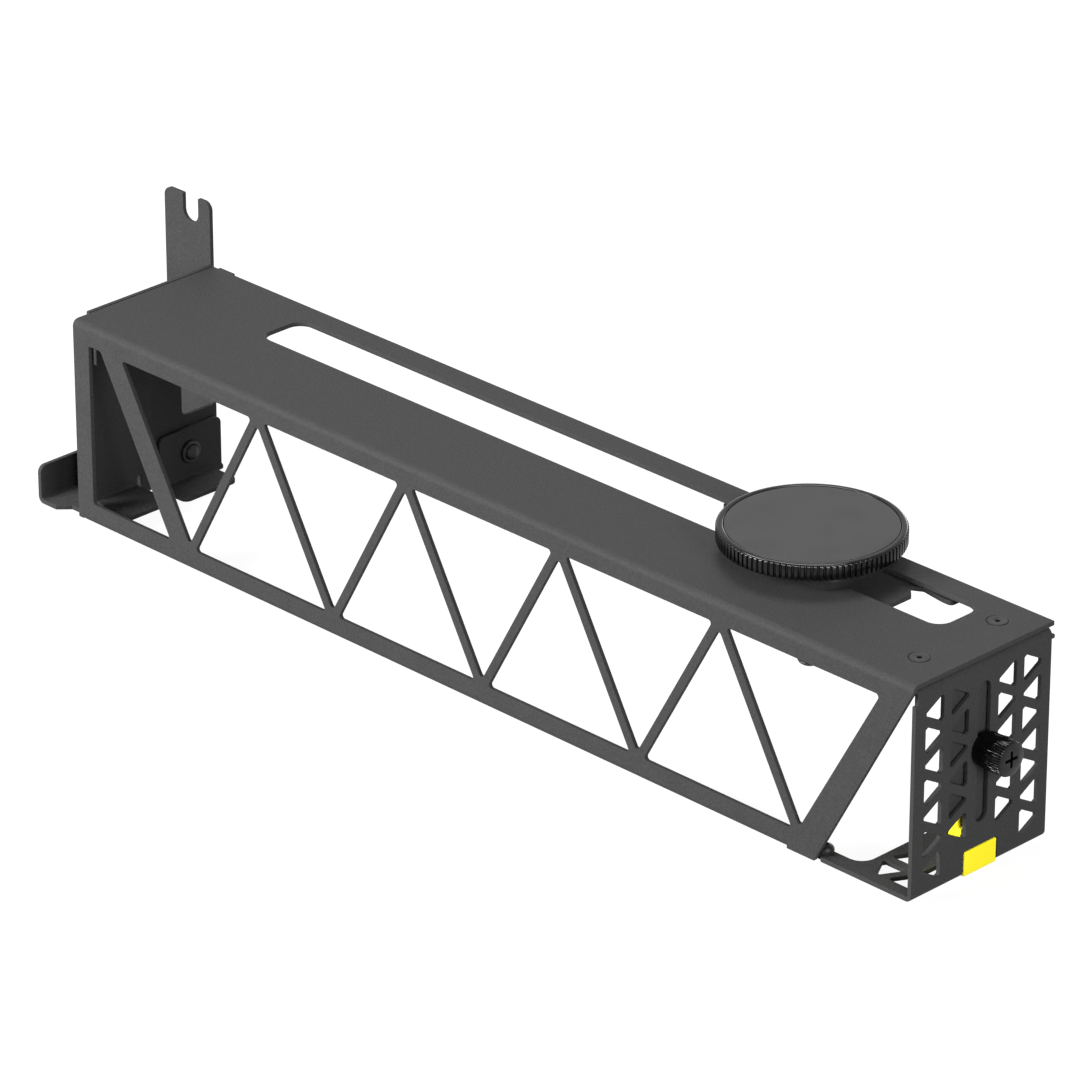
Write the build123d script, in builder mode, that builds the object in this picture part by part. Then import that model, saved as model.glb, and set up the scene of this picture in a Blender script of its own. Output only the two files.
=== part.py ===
"""Graphics card support bracket: a folded truss rail with a sliding lift and a drop leg.

Sizes are in millimetres. Places are measured from the rail's lower left outer corner:
x runs along the rail, y goes back from the truss web, z goes up from the web's foot.
"""

import os
from math import cos, pi, sin

from build123d import *

# Sheet metal
SHEET = 1.2
BEND = 1.8
SHEET_GAP = 0.3
MIDLINE_BEND = BEND - SHEET / 2

# Truss frame
RAIL_LENGTH = 287.8
RAIL_DEPTH = 48.0
RAIL_HEIGHT = 55.75
WEB_FOOT_LENGTH = 258.4
SIDE_CHORD = 5.9
LOWER_CHORD = 5.8
UPPER_CHORD = 5.65
TRUSS_PITCH = 52.75
UP_APEX_X = 68.8
UP_APEX_BELOW_CHORD = 1.3
UP_HALF_BASE = 24.15
UP_COUNT = 4
DOWN_APEX_X = 42.5
DOWN_APEX_ABOVE_CHORD = 1.2
DOWN_HALF_TOP = 24.2
DOWN_COUNT = 5
FIRST_BASE_END = 35.3
FIRST_TOP_END = 10.4
TRUSS_CORNER = 0.8
LIP_DEPTH = 6.0
LIP_START = 1.8
LIP_END = 249.7
CORNER_RELIEF = 0.6
EAR_START = 1.8
EAR_LENGTH = 5.6
EAR_REACH = 0.8
LEFT_FLANGE_START = 6.6
LEFT_FLANGE_END = 46.0
LEFT_FLANGE_DROP = 14.6

# Slot in the top of the rail
SLOT_START = 40.75
SLOT_END = 271.4
SLOT_FRONT = 26.85
SLOT_BACK = 41.0
SLOT_CORNER = 4.0
SLOT_Y = (SLOT_FRONT + SLOT_BACK) / 2
TOP_UNDER = RAIL_HEIGHT - SHEET

# End bracket
PLATE_OUT = 0.3
PLATE_FRONT = 0.75
PLATE_STEP_Z = 50.4
PLATE_BACK = 47.0
TOP_FLANGE_LENGTH = 15.3
TOP_FLANGE_FRONT = 3.0
TOP_FLANGE_BACK = 46.0
SHOULDER_HEIGHT = 2.8
SHOULDER_REACH = 1.0
FLOOR_LENGTH = 19.0
FLOOR_BACK = 43.0
STRIP_START = LIP_END + SHEET_GAP
STRIP_BACK = 5.3
STRIP_NOSE = WEB_FOOT_LENGTH + 1.0
STRIP_NOSE_CORNER = 0.7
STRIP_CORNER = 4.0
HOLE_SIDE = 7.4
HOLE_HEIGHT = 6.6
HOLE_CORNER = 0.85
ROW_TOP = 47.2
ROW_PITCH = 6.7
COLUMN_SIDES = ((4.4, 10.4), (13.0, 19.0), (29.1, 35.1), (37.7, 43.7))
NOTCH_FRONT = 18.6
NOTCH_BACK = 30.2
NOTCH_HEIGHT = 6.6
NOTCH_CORNER = 0.7
GUIDE_Y = 24.2
GUIDE_WIDTH = 4.1
GUIDE_BOTTOM = 12.6
GUIDE_TOP = 48.8
PLATE_FACE = RAIL_LENGTH + PLATE_OUT
PLATE_INNER = PLATE_FACE - SHEET
TOP_FLANGE_UNDER = TOP_UNDER - SHEET_GAP - SHEET

# Flush screws that hold the end bracket to the rail
FLUSH_INSET = 9.4
FLUSH_X = RAIL_LENGTH - FLUSH_INSET
FLUSH_Y = (12.3, 38.8)
FLUSH_HEAD_RADIUS = 2.8
FLUSH_SHANK_RADIUS = 1.5
FLUSH_LENGTH = 5.6
FLUSH_DRIVE = 1.5
NUT_RADIUS = 3.0
NUT_HEIGHT = 2.2
THREAD_FIT = 0.05
HOLE_PLAY = 0.15

# Pan head screw in the floor strip
FLOOR_SCREW_X = 258.9
FLOOR_SCREW_Y = 3.6
FLOOR_HEAD_RADIUS = 2.0
FLOOR_HEAD_HEIGHT = 2.3
FLOOR_SHANK_RADIUS = 1.25

# Rear mount bracket
REAR_FRONT = 6.0
TAB_FACE = 48.0
TAB_LEFT = -18.4
TAB_RIGHT = -1.0
TAB_TOP = 72.9
TAB_FOOT = 5.0
TAB_CORNER = 2.4
TAB_NECK_DROP = 5.0
TAB_NECK = RAIL_HEIGHT - TAB_NECK_DROP
FORK_LEFT = -11.2
FORK_WIDTH = 5.7
FORK_FLOOR = 65.7
FORK_CORNER = 1.6
WINDOW_FRONT = 36.3
WINDOW_FOOT = 16.8
WINDOW_TOP = 40.0
WINDOW_CORNER = 2.0
LEDGE_REACH = 13.0
LEDGE_BACK = 20.3
FOOT_FRONT = 0.7
FOOT_START = 21.8
FOOT_BACK = 44.0
FOOT_LEFT = -16.7
FOOT_HEEL = -2.9
FOOT_CHAMFER_START = -9.9
FOOT_CHAMFER_END = -7.0
FOOT_SET_BACK = 3.8
FOOT_LIP_TOP = 9.2
FOOT_LIP_CORNER = 2.0
REAR_OUTER = -SHEET_GAP - SHEET

# Rivets that join the rail's left flange to the rear mount bracket
RIVET_Y = (16.0, 40.0)
RIVET_Z = 47.5
RIVET_RADIUS = 1.5
RIVET_HEAD_RADIUS = 2.8
RIVET_HEAD_HEIGHT = 0.9

# Inner angle and its bolt
ANGLE_FRONT = 27.0
ANGLE_BACK = 48.3
ANGLE_TOP = 13.9
ANGLE_REACH = 10.8
ANGLE_CORNER = 2.0
ANGLE_FLOOR_BACK = 45.3
ANGLE_FLOOR_CORNER = 2.0
BOLT_Y = 37.35
BOLT_Z = 7.1
BOLT_RADIUS = 2.0
BOLT_HEAD_RADIUS = 4.04
BOLT_HEAD_HEIGHT = 2.4
BOLT_END = 2.9
BOLT_NUT_RADIUS = 3.1
BOLT_NUT_HEIGHT = 2.0
BOLT_CHAMFER = 0.5

# Drop leg
LEG_FRONT = 12.0
LEG_BACK = 29.9
LEG_TOP = 52.0
LEG_CORNER = 1.5
LEG_JOGGLE_TOP = 23.0
LEG_JOGGLE_FOOT = 20.6
LEG_JOGGLE = 1.8
LEG_TONGUE_FOOT = 6.0
SHOE_TOP = 19.2
SHOE_THICKNESS = 5.0
SHOE_CORNER = 0.6
BOSS_CLEARANCE = 0.3
TONGUE_FIT = 0.05
LEG_OUTER = PLATE_INNER - SHEET_GAP

# Thumbscrew that clamps the leg
THUMB_Z = 31.8
THUMB_HEAD_RADIUS = 4.4
THUMB_GAP = 0.05
THUMB_HEAD_LENGTH = 8.6
THUMB_RIDGE = 0.25
THUMB_RIDGES = 32
THUMB_PLAIN = 1.0
THUMB_SHANK_RADIUS = 1.95
THUMB_REACH = 8.0
CROSS_WIDTH = 0.9
CROSS_SPAN = 4.6
CROSS_DEPTH = 1.6
LEG_NUT_RADIUS = 3.6
LEG_NUT_HEIGHT = 3.2

# Carriage that runs along the slot
AXIS_FROM_END = 63.3
AXIS_X = RAIL_LENGTH - AXIS_FROM_END
CAP_LENGTH = 37.0
CAP_WIDTH = 27.0
CAP_CORNER = 5.0
CAP_THICKNESS = 2.4
CAP_EDGE = 0.6
GLIDE_THICKNESS = 1.0
GLIDE_GAP = 0.05
GLIDE_INSET = 0.6
NECK_LENGTH = 30.0
NECK_CLEARANCE = 0.2
NECK_CORNER = 3.0
TRAY_DROP = 3.55
TRAY_UNDER = RAIL_HEIGHT - TRAY_DROP
TRAY_LENGTH = 55.6
TRAY_FRONT = 22.5
TRAY_BACK = 46.5
TRAY_REACH = 74.0
TRAY_STEP_Y = 41.3
TRAY_CHAMFER = 3.1
TRAY_HOLLOW_Y = 42.9
TRAY_HOLLOW = 2.7
TRAY_TIP_Y = 41.9
TRAY_TIP = 3.0
TRAY_CORNER = 1.2
TRAY_SCREW_X = 10.5
TRAY_SCREW_RADIUS = 1.25
TRAY_HEAD_RADIUS = 2.3
TRAY_HEAD_HEIGHT = 1.5
TRAY_SCREW_LENGTH = 4.0
GLIDE_BOTTOM = RAIL_HEIGHT + GLIDE_GAP
CAP_BOTTOM = GLIDE_BOTTOM + GLIDE_THICKNESS
CAP_TOP = CAP_BOTTOM + CAP_THICKNESS

# Spindle and wheel
SPINDLE_RADIUS = 3.0
SPINDLE_BOTTOM = 27.2
SPINDLE_CHAMFER = 1.0
BUSH_RADIUS = 5.2
CLIP_Z = 30.7
CLIP_THICKNESS = 0.8
CLIP_RADIUS = 5.0
CLIP_GROOVE = 0.5
CLIP_MOUTH = 3.6
WHEEL_GAP = 0.3
WHEEL_RADIUS = 22.7
WHEEL_HEIGHT = 4.15
RIDGE_HEIGHT = 3.7
RIDGE_DEPTH = 0.45
RIDGE_COUNT = 96
CUP_DEPTH = 2.3
PAD_RADIUS = 20.8
PAD_PLAY = 0.1
PAD_THICKNESS = 1.1
PAD_RECESS = 0.1
CARRIER_THICKNESS = 1.0
CARRIER_PIN_RADIUS = 1.4
CARRIER_PIN_LENGTH = 4.0
PIN_PLAY = 0.05
WHEEL_BOTTOM = CAP_TOP + WHEEL_GAP
WHEEL_TOP = WHEEL_BOTTOM + WHEEL_HEIGHT
CUP_FLOOR = WHEEL_TOP - CUP_DEPTH
PAD_TOP = WHEEL_TOP - PAD_RECESS
PAD_BOTTOM = PAD_TOP - PAD_THICKNESS
CARRIER_BOTTOM = PAD_BOTTOM - CARRIER_THICKNESS

# Datum planes through the rail's corner, with the whole object centred over the origin
RIGHT_END = PLATE_FACE + THUMB_GAP + THUMB_HEAD_LENGTH
BACK_END = SLOT_Y + WHEEL_RADIUS
CORNER = (-(RIGHT_END + TAB_LEFT) / 2, -BACK_END / 2, SHEET)
floor = Plane(origin=CORNER, x_dir=(1, 0, 0), z_dir=(0, 0, 1))
front = Plane(origin=CORNER, x_dir=(1, 0, 0), z_dir=(0, -1, 0))
side = Plane(origin=CORNER, x_dir=(0, 1, 0), z_dir=(1, 0, 0))

UP_TIP = RAIL_HEIGHT - UPPER_CHORD - UP_APEX_BELOW_CHORD
DOWN_TIP = LOWER_CHORD + DOWN_APEX_ABOVE_CHORD
CHORD_UNDER = RAIL_HEIGHT - UPPER_CHORD


# Truss frame: top, web, lower lip and left flange, folded from one sheet
with BuildPart() as truss_frame:
    with BuildSketch(side):
        with BuildLine():
            FilletPolyline(
                (RAIL_DEPTH, RAIL_HEIGHT - SHEET / 2),
                (SHEET / 2, RAIL_HEIGHT - SHEET / 2),
                (SHEET / 2, 0),
                radius=MIDLINE_BEND,
            )
        trace(line_width=SHEET)
    extrude(amount=RAIL_LENGTH)
    with BuildSketch(side.offset(LIP_START)):
        with Locations((0, 0)):
            Rectangle(BEND, BEND, align=(Align.MIN, Align.MIN))
    extrude(amount=LIP_END - LIP_START, mode=Mode.SUBTRACT)
    with BuildSketch(side.offset(LIP_START)):
        with BuildLine():
            FilletPolyline(
                (SHEET / 2, BEND + SHEET),
                (SHEET / 2, SHEET / 2),
                (LIP_DEPTH, SHEET / 2),
                radius=MIDLINE_BEND,
            )
        trace(line_width=SHEET)
    extrude(amount=LIP_END - LIP_START)
    with BuildSketch(front.offset(-SHEET)):
        Rectangle(LIP_START, CORNER_RELIEF, align=(Align.MIN, Align.MIN))
        with BuildLine():
            Polyline(
                (WEB_FOOT_LENGTH, 0),
                (RAIL_LENGTH, RAIL_HEIGHT - BEND),
                (RAIL_LENGTH + SHEET, 0),
                close=True,
            )
        make_face()
    extrude(amount=SHEET, mode=Mode.SUBTRACT)
    with BuildSketch(front.offset(-SHEET)) as first_opening:
        with BuildLine():
            Polyline(
                (SIDE_CHORD, LOWER_CHORD),
                (FIRST_BASE_END, LOWER_CHORD),
                (FIRST_TOP_END, CHORD_UNDER),
                (SIDE_CHORD, CHORD_UNDER),
                close=True,
            )
        make_face()
        fillet(first_opening.vertices(), radius=TRUSS_CORNER)
    extrude(amount=SHEET, mode=Mode.SUBTRACT)
    with BuildSketch(front.offset(-SHEET)) as up_openings:
        with Locations(*[(UP_APEX_X + TRUSS_PITCH * n, 0) for n in range(UP_COUNT)]):
            Polygon(
                (-UP_HALF_BASE, LOWER_CHORD),
                (UP_HALF_BASE, LOWER_CHORD),
                (0, UP_TIP),
                align=None,
            )
        fillet(up_openings.vertices(), radius=TRUSS_CORNER)
    extrude(amount=SHEET, mode=Mode.SUBTRACT)
    with BuildSketch(front.offset(-SHEET)) as down_openings:
        with Locations(*[(DOWN_APEX_X + TRUSS_PITCH * n, 0) for n in range(DOWN_COUNT)]):
            Polygon(
                (-DOWN_HALF_TOP, CHORD_UNDER),
                (0, DOWN_TIP),
                (DOWN_HALF_TOP, CHORD_UNDER),
                align=None,
            )
        fillet(down_openings.vertices(), radius=TRUSS_CORNER)
    extrude(amount=SHEET, mode=Mode.SUBTRACT)
    with BuildSketch(floor.offset(TOP_UNDER)):
        with Locations(((SLOT_START + SLOT_END) / 2, SLOT_Y)):
            RectangleRounded(SLOT_END - SLOT_START, SLOT_BACK - SLOT_FRONT, SLOT_CORNER)
    extrude(amount=SHEET, mode=Mode.SUBTRACT)
    with BuildSketch(floor.offset(TOP_UNDER)):
        with Locations((EAR_START, RAIL_DEPTH)):
            Rectangle(EAR_LENGTH, EAR_REACH, align=(Align.MIN, Align.MIN))
    extrude(amount=SHEET)
    with BuildSketch(front.offset(-LEFT_FLANGE_END)):
        with BuildLine():
            FilletPolyline(
                (BEND + SHEET, RAIL_HEIGHT - SHEET / 2),
                (SHEET / 2, RAIL_HEIGHT - SHEET / 2),
                (SHEET / 2, RAIL_HEIGHT - LEFT_FLANGE_DROP),
                radius=MIDLINE_BEND,
            )
        trace(line_width=SHEET)
    extrude(amount=LEFT_FLANGE_END - LEFT_FLANGE_START)
    with BuildSketch(side):
        with Locations(*[(y, RIVET_Z) for y in RIVET_Y]):
            Circle(RIVET_RADIUS + THREAD_FIT)
    extrude(amount=SHEET, mode=Mode.SUBTRACT)
    with Locations(*[floor.offset(RAIL_HEIGHT) * Location((FLUSH_X, y, 0)) for y in FLUSH_Y]):
        CounterSinkHole(
            radius=FLUSH_SHANK_RADIUS + HOLE_PLAY,
            counter_sink_radius=FLUSH_HEAD_RADIUS + THREAD_FIT,
            depth=2 * SHEET,
            counter_sink_angle=90,
        )
truss_frame.part.label = "truss_frame"

# End bracket: pierced end plate with a top flange and a floor flange
with BuildPart() as end_bracket:
    with BuildSketch(front.offset(-PLATE_BACK)):
        with BuildLine():
            FilletPolyline(
                (RAIL_LENGTH - TOP_FLANGE_LENGTH, TOP_FLANGE_UNDER + SHEET / 2),
                (PLATE_FACE - SHEET / 2, TOP_FLANGE_UNDER + SHEET / 2),
                (PLATE_FACE - SHEET / 2, SHEET / 2),
                (STRIP_START, SHEET / 2),
                radius=MIDLINE_BEND,
            )
        trace(line_width=SHEET)
    extrude(amount=PLATE_BACK - PLATE_FRONT)
    with BuildSketch(side.offset(PLATE_INNER - BEND)):
        with Locations((0, PLATE_STEP_Z)):
            Rectangle(SHEET + SHEET_GAP, RAIL_HEIGHT - PLATE_STEP_Z, align=(Align.MIN, Align.MIN))
    extrude(amount=BEND + SHEET, mode=Mode.SUBTRACT)
    with BuildSketch(floor):
        with Locations((STRIP_START, 0)):
            Rectangle(
                STRIP_NOSE - STRIP_START, SHEET + SHEET_GAP, align=(Align.MIN, Align.MIN)
            )
    extrude(amount=SHEET, mode=Mode.SUBTRACT)
    fillet(
        end_bracket.edges()
        .filter_by(Axis.Z)
        .group_by(Axis.Y)[0]
        .sort_by(Axis.X)[0],
        radius=STRIP_NOSE_CORNER,
    )
    with BuildSketch(side.offset(PLATE_INNER)):
        with Locations((PLATE_BACK, TOP_FLANGE_UNDER + SHEET - BEND)):
            Rectangle(2 * SHOULDER_REACH, SHOULDER_HEIGHT - BEND, align=(Align.CENTER, Align.MAX))
    extrude(amount=SHEET)
    with BuildSketch(floor.offset(TOP_FLANGE_UNDER)):
        with Locations((RAIL_LENGTH - TOP_FLANGE_LENGTH, 0)):
            Rectangle(
                TOP_FLANGE_LENGTH - BEND, TOP_FLANGE_FRONT, align=(Align.MIN, Align.MIN)
            )
        with Locations((RAIL_LENGTH - TOP_FLANGE_LENGTH, TOP_FLANGE_BACK)):
            Rectangle(
                TOP_FLANGE_LENGTH - BEND, RAIL_DEPTH - TOP_FLANGE_BACK, align=(Align.MIN, Align.MIN)
            )
        with Locations(*[(FLUSH_X, y) for y in FLUSH_Y]):
            Circle(FLUSH_SHANK_RADIUS + HOLE_PLAY)
    extrude(amount=SHEET, mode=Mode.SUBTRACT)
    with BuildSketch(floor) as strip_cut:
        with Locations((STRIP_START, STRIP_BACK)):
            Rectangle(
                RAIL_LENGTH - FLOOR_LENGTH - STRIP_START,
                RAIL_DEPTH - STRIP_BACK,
                align=(Align.MIN, Align.MIN),
            )
        fillet(strip_cut.vertices().group_by(Axis.Y)[0].sort_by(Axis.X)[-1], radius=STRIP_CORNER)
        with Locations((RAIL_LENGTH - FLOOR_LENGTH, FLOOR_BACK)):
            Rectangle(
                FLOOR_LENGTH - BEND, RAIL_DEPTH - FLOOR_BACK, align=(Align.MIN, Align.MIN)
            )
    extrude(amount=SHEET, mode=Mode.SUBTRACT)
    with BuildSketch(floor):
        with Locations((PLATE_INNER, LEG_FRONT - SHEET_GAP)):
            Rectangle(
                SHEET_GAP + SHOE_THICKNESS + SHEET_GAP,
                LEG_BACK - LEG_FRONT + 2 * SHEET_GAP,
                align=(Align.MAX, Align.MIN),
            )
        with Locations((FLOOR_SCREW_X, FLOOR_SCREW_Y)):
            Circle(FLOOR_SHANK_RADIUS + THREAD_FIT)
    extrude(amount=BEND, mode=Mode.SUBTRACT)
    with BuildSketch(side.offset(PLATE_INNER)) as lattice:
        for column, (near, far) in enumerate(COLUMN_SIDES):
            rows = 7 if column in (0, 3) else 6
            for row in range(rows):
                points_front = (row + column) % 2 == 0
                edge_y = far if points_front else near
                tip_y = edge_y - HOLE_HEIGHT if points_front else edge_y + HOLE_HEIGHT
                centre_z = ROW_TOP - ROW_PITCH * row
                Polygon(
                    (edge_y, centre_z - HOLE_SIDE / 2),
                    (edge_y, centre_z + HOLE_SIDE / 2),
                    (tip_y, centre_z),
                    align=None,
                )
        chamfer(lattice.vertices(), length=HOLE_CORNER)
    extrude(amount=SHEET, mode=Mode.SUBTRACT)
    with BuildSketch(floor) as floor_lattice:
        for x, near, far in (
            (RAIL_LENGTH - 2 * ROW_PITCH, *COLUMN_SIDES[0]),
            (RAIL_LENGTH - ROW_PITCH, *reversed(COLUMN_SIDES[0])),
            (RAIL_LENGTH - 2 * ROW_PITCH, *reversed(COLUMN_SIDES[1])),
        ):
            tip = far - HOLE_HEIGHT if far > near else far + HOLE_HEIGHT
            Polygon(
                (x - HOLE_SIDE / 2, far),
                (x + HOLE_SIDE / 2, far),
                (x, tip),
                align=None,
            )
        chamfer(floor_lattice.vertices(), length=HOLE_CORNER)
    extrude(amount=SHEET, mode=Mode.SUBTRACT)
    with BuildSketch(side.offset(PLATE_INNER)):
        with Locations((GUIDE_Y, (GUIDE_BOTTOM + GUIDE_TOP) / 2)):
            SlotOverall(GUIDE_TOP - GUIDE_BOTTOM, GUIDE_WIDTH, rotation=90)
    extrude(amount=SHEET, mode=Mode.SUBTRACT)
    with BuildSketch(side.offset(PLATE_INNER - BEND)) as notch:
        with Locations((NOTCH_FRONT, 0)):
            Rectangle(NOTCH_BACK - NOTCH_FRONT, NOTCH_HEIGHT, align=(Align.MIN, Align.MIN))
        fillet(notch.vertices().group_by(Axis.Z)[-1], radius=NOTCH_CORNER)
    extrude(amount=BEND + SHEET, mode=Mode.SUBTRACT)
end_bracket.part.label = "end_bracket"

# Rear mount bracket: end plate, fork tab, ledge and hooked foot, folded from one sheet
with BuildPart() as rear_mount_bracket:
    with BuildSketch(floor.offset(TAB_FOOT)):
        with BuildLine():
            FilletPolyline(
                (REAR_OUTER + SHEET / 2, REAR_FRONT),
                (REAR_OUTER + SHEET / 2, TAB_FACE + SHEET / 2),
                (TAB_LEFT, TAB_FACE + SHEET / 2),
                radius=MIDLINE_BEND,
            )
        trace(line_width=SHEET)
    extrude(amount=RAIL_HEIGHT - TAB_FOOT)
    with BuildSketch(front.offset(-LEDGE_BACK)):
        with BuildLine():
            FilletPolyline(
                (REAR_OUTER + SHEET / 2, 2 * TAB_FOOT),
                (REAR_OUTER + SHEET / 2, SHEET + SHEET_GAP + SHEET / 2),
                (LEDGE_REACH, SHEET + SHEET_GAP + SHEET / 2),
                radius=MIDLINE_BEND,
            )
        trace(line_width=SHEET)
    extrude(amount=LEDGE_BACK - REAR_FRONT)
    with BuildSketch(front.offset(-FOOT_BACK)):
        with BuildLine():
            FilletPolyline(
                (REAR_OUTER + SHEET / 2, 2 * TAB_FOOT),
                (REAR_OUTER + SHEET / 2, -SHEET / 2),
                (FOOT_LEFT + SHEET / 2, -SHEET / 2),
                (FOOT_LEFT + SHEET / 2, FOOT_LIP_TOP),
                radius=MIDLINE_BEND,
            )
        trace(line_width=SHEET)
    extrude(amount=FOOT_BACK - FOOT_START)
    with BuildSketch(front.offset(-FOOT_START)):
        with BuildLine():
            FilletPolyline(
                (FOOT_HEEL, -SHEET / 2),
                (FOOT_LEFT + SHEET / 2, -SHEET / 2),
                (FOOT_LEFT + SHEET / 2, FOOT_LIP_TOP),
                radius=MIDLINE_BEND,
            )
        trace(line_width=SHEET)
    extrude(amount=FOOT_START - FOOT_FRONT)
    with BuildSketch(floor.offset(-SHEET)):
        with BuildLine():
            Polyline(
                (FOOT_CHAMFER_START, FOOT_FRONT),
                (FOOT_CHAMFER_END, FOOT_SET_BACK),
                (0, FOOT_SET_BACK),
                (0, FOOT_FRONT),
                close=True,
            )
        make_face()
    extrude(amount=SHEET, mode=Mode.SUBTRACT)
    fillet(
        rear_mount_bracket.edges()
        .filter_by(Axis.X)
        .group_by(Axis.Y)[0]
        .sort_by(Axis.Z)[-1],
        radius=FOOT_LIP_CORNER,
    )
    with BuildSketch(front.offset(-TAB_FACE - SHEET)) as fork:
        with Locations((TAB_LEFT, TAB_NECK)):
            Rectangle(TAB_RIGHT - TAB_LEFT, TAB_TOP - TAB_NECK, align=(Align.MIN, Align.MIN))
        fillet(fork.vertices().group_by(Axis.Z)[-1], radius=TAB_CORNER)
        with Locations((FORK_LEFT, TAB_TOP)):
            Rectangle(FORK_WIDTH, TAB_TOP - FORK_FLOOR - FORK_WIDTH / 2,
                      align=(Align.MIN, Align.MAX), mode=Mode.SUBTRACT)
        with Locations((FORK_LEFT + FORK_WIDTH / 2, FORK_FLOOR + FORK_WIDTH / 2)):
            Circle(FORK_WIDTH / 2, mode=Mode.SUBTRACT)
    extrude(amount=SHEET)
    with BuildSketch(side.offset(REAR_OUTER)) as window:
        with Locations((WINDOW_FRONT, WINDOW_FOOT)):
            Rectangle(
                TAB_FACE - WINDOW_FRONT, WINDOW_TOP - WINDOW_FOOT, align=(Align.MIN, Align.MIN)
            )
        fillet(window.vertices().group_by(Axis.Y)[0], radius=WINDOW_CORNER)
        with Locations(*[(y, RIVET_Z) for y in RIVET_Y]):
            Circle(RIVET_RADIUS + THREAD_FIT)
        with Locations((BOLT_Y, BOLT_Z)):
            Circle(BOLT_RADIUS + HOLE_PLAY)
    extrude(amount=SHEET, mode=Mode.SUBTRACT)
rear_mount_bracket.part.label = "rear_mount_bracket"

# Rivets through the left flange, flush with the outer face of the rear mount bracket
with BuildPart() as flange_rivets:
    with BuildSketch(side.offset(REAR_OUTER)):
        with Locations(*[(y, RIVET_Z) for y in RIVET_Y]):
            Circle(RIVET_RADIUS)
    extrude(amount=-REAR_OUTER + SHEET)
    with BuildSketch(side.offset(SHEET)):
        with Locations(*[(y, RIVET_Z) for y in RIVET_Y]):
            Circle(RIVET_HEAD_RADIUS)
    extrude(amount=RIVET_HEAD_HEIGHT)
flange_rivets.part.label = "flange_rivets"

# Inner angle clamped against the rear mount bracket
with BuildPart() as inner_angle:
    with BuildSketch(front.offset(-ANGLE_BACK)):
        with BuildLine():
            FilletPolyline(
                (SHEET / 2, ANGLE_TOP),
                (SHEET / 2, -SHEET / 2),
                (ANGLE_REACH, -SHEET / 2),
                radius=MIDLINE_BEND,
            )
        trace(line_width=SHEET)
    extrude(amount=ANGLE_BACK - ANGLE_FRONT)
    fillet(
        inner_angle.edges().filter_by(Axis.X).group_by(Axis.Z)[-1],
        radius=ANGLE_CORNER,
    )
    with BuildSketch(floor.offset(-SHEET)):
        with Locations((BEND, ANGLE_FLOOR_BACK)):
            Rectangle(ANGLE_REACH, ANGLE_BACK - ANGLE_FLOOR_BACK, align=(Align.MIN, Align.MIN))
    extrude(amount=SHEET, mode=Mode.SUBTRACT)
    fillet(
        inner_angle.edges().filter_by(Axis.Z).group_by(Axis.X)[-1],
        radius=ANGLE_FLOOR_CORNER,
    )
    with BuildSketch(side):
        with Locations((BOLT_Y, BOLT_Z)):
            Circle(BOLT_NUT_RADIUS + THREAD_FIT)
    extrude(amount=SHEET, mode=Mode.SUBTRACT)
inner_angle.part.label = "inner_angle"

# Clinch nut pressed into the inner angle
with BuildPart() as angle_nut:
    with BuildSketch(side):
        with Locations((BOLT_Y, BOLT_Z)):
            Circle(BOLT_NUT_RADIUS)
            Circle(BOLT_RADIUS + THREAD_FIT, mode=Mode.SUBTRACT)
    extrude(amount=BOLT_NUT_HEIGHT)
angle_nut.part.label = "angle_nut"

# Bolt through the rear mount bracket into the clinch nut
with BuildPart() as angle_bolt:
    with BuildSketch(side.offset(REAR_OUTER - BOLT_HEAD_HEIGHT)):
        with Locations((BOLT_Y, BOLT_Z)):
            RegularPolygon(BOLT_HEAD_RADIUS, 6)
    extrude(amount=BOLT_HEAD_HEIGHT)
    with BuildSketch(side.offset(REAR_OUTER)):
        with Locations((BOLT_Y, BOLT_Z)):
            Circle(BOLT_RADIUS)
    extrude(amount=BOLT_END - REAR_OUTER)
    chamfer(
        angle_bolt.edges().filter_by(GeomType.CIRCLE).group_by(Axis.X)[-1],
        length=BOLT_CHAMFER,
    )
angle_bolt.part.label = "angle_bolt"

# Flush screws and their clinch nuts
with BuildPart() as flush_screws:
    for y in FLUSH_Y:
        with BuildSketch(front.offset(-y)):
            with BuildLine():
                Polyline(
                    (FLUSH_X, RAIL_HEIGHT),
                    (FLUSH_X + FLUSH_HEAD_RADIUS, RAIL_HEIGHT),
                    (
                        FLUSH_X + FLUSH_SHANK_RADIUS,
                        RAIL_HEIGHT - FLUSH_HEAD_RADIUS + FLUSH_SHANK_RADIUS,
                    ),
                    (FLUSH_X + FLUSH_SHANK_RADIUS, RAIL_HEIGHT - FLUSH_LENGTH),
                    (FLUSH_X, RAIL_HEIGHT - FLUSH_LENGTH),
                    close=True,
                )
            make_face()
        revolve(axis=Axis(front.from_local_coords((FLUSH_X, 0, -y)), (0, 0, 1)))
    with BuildSketch(floor.offset(RAIL_HEIGHT)):
        with Locations(*[(FLUSH_X, y) for y in FLUSH_Y]):
            RegularPolygon(FLUSH_DRIVE / 2, 6)
    extrude(amount=-FLUSH_DRIVE / 2, mode=Mode.SUBTRACT)
flush_screws.part.label = "flush_screws"

with BuildPart() as flush_nuts:
    with BuildSketch(floor.offset(TOP_FLANGE_UNDER)):
        with Locations(*[(FLUSH_X, y) for y in FLUSH_Y]):
            RegularPolygon(NUT_RADIUS, 6)
            Circle(FLUSH_SHANK_RADIUS + THREAD_FIT, mode=Mode.SUBTRACT)
    extrude(amount=-NUT_HEIGHT)
flush_nuts.part.label = "flush_nuts"

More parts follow.
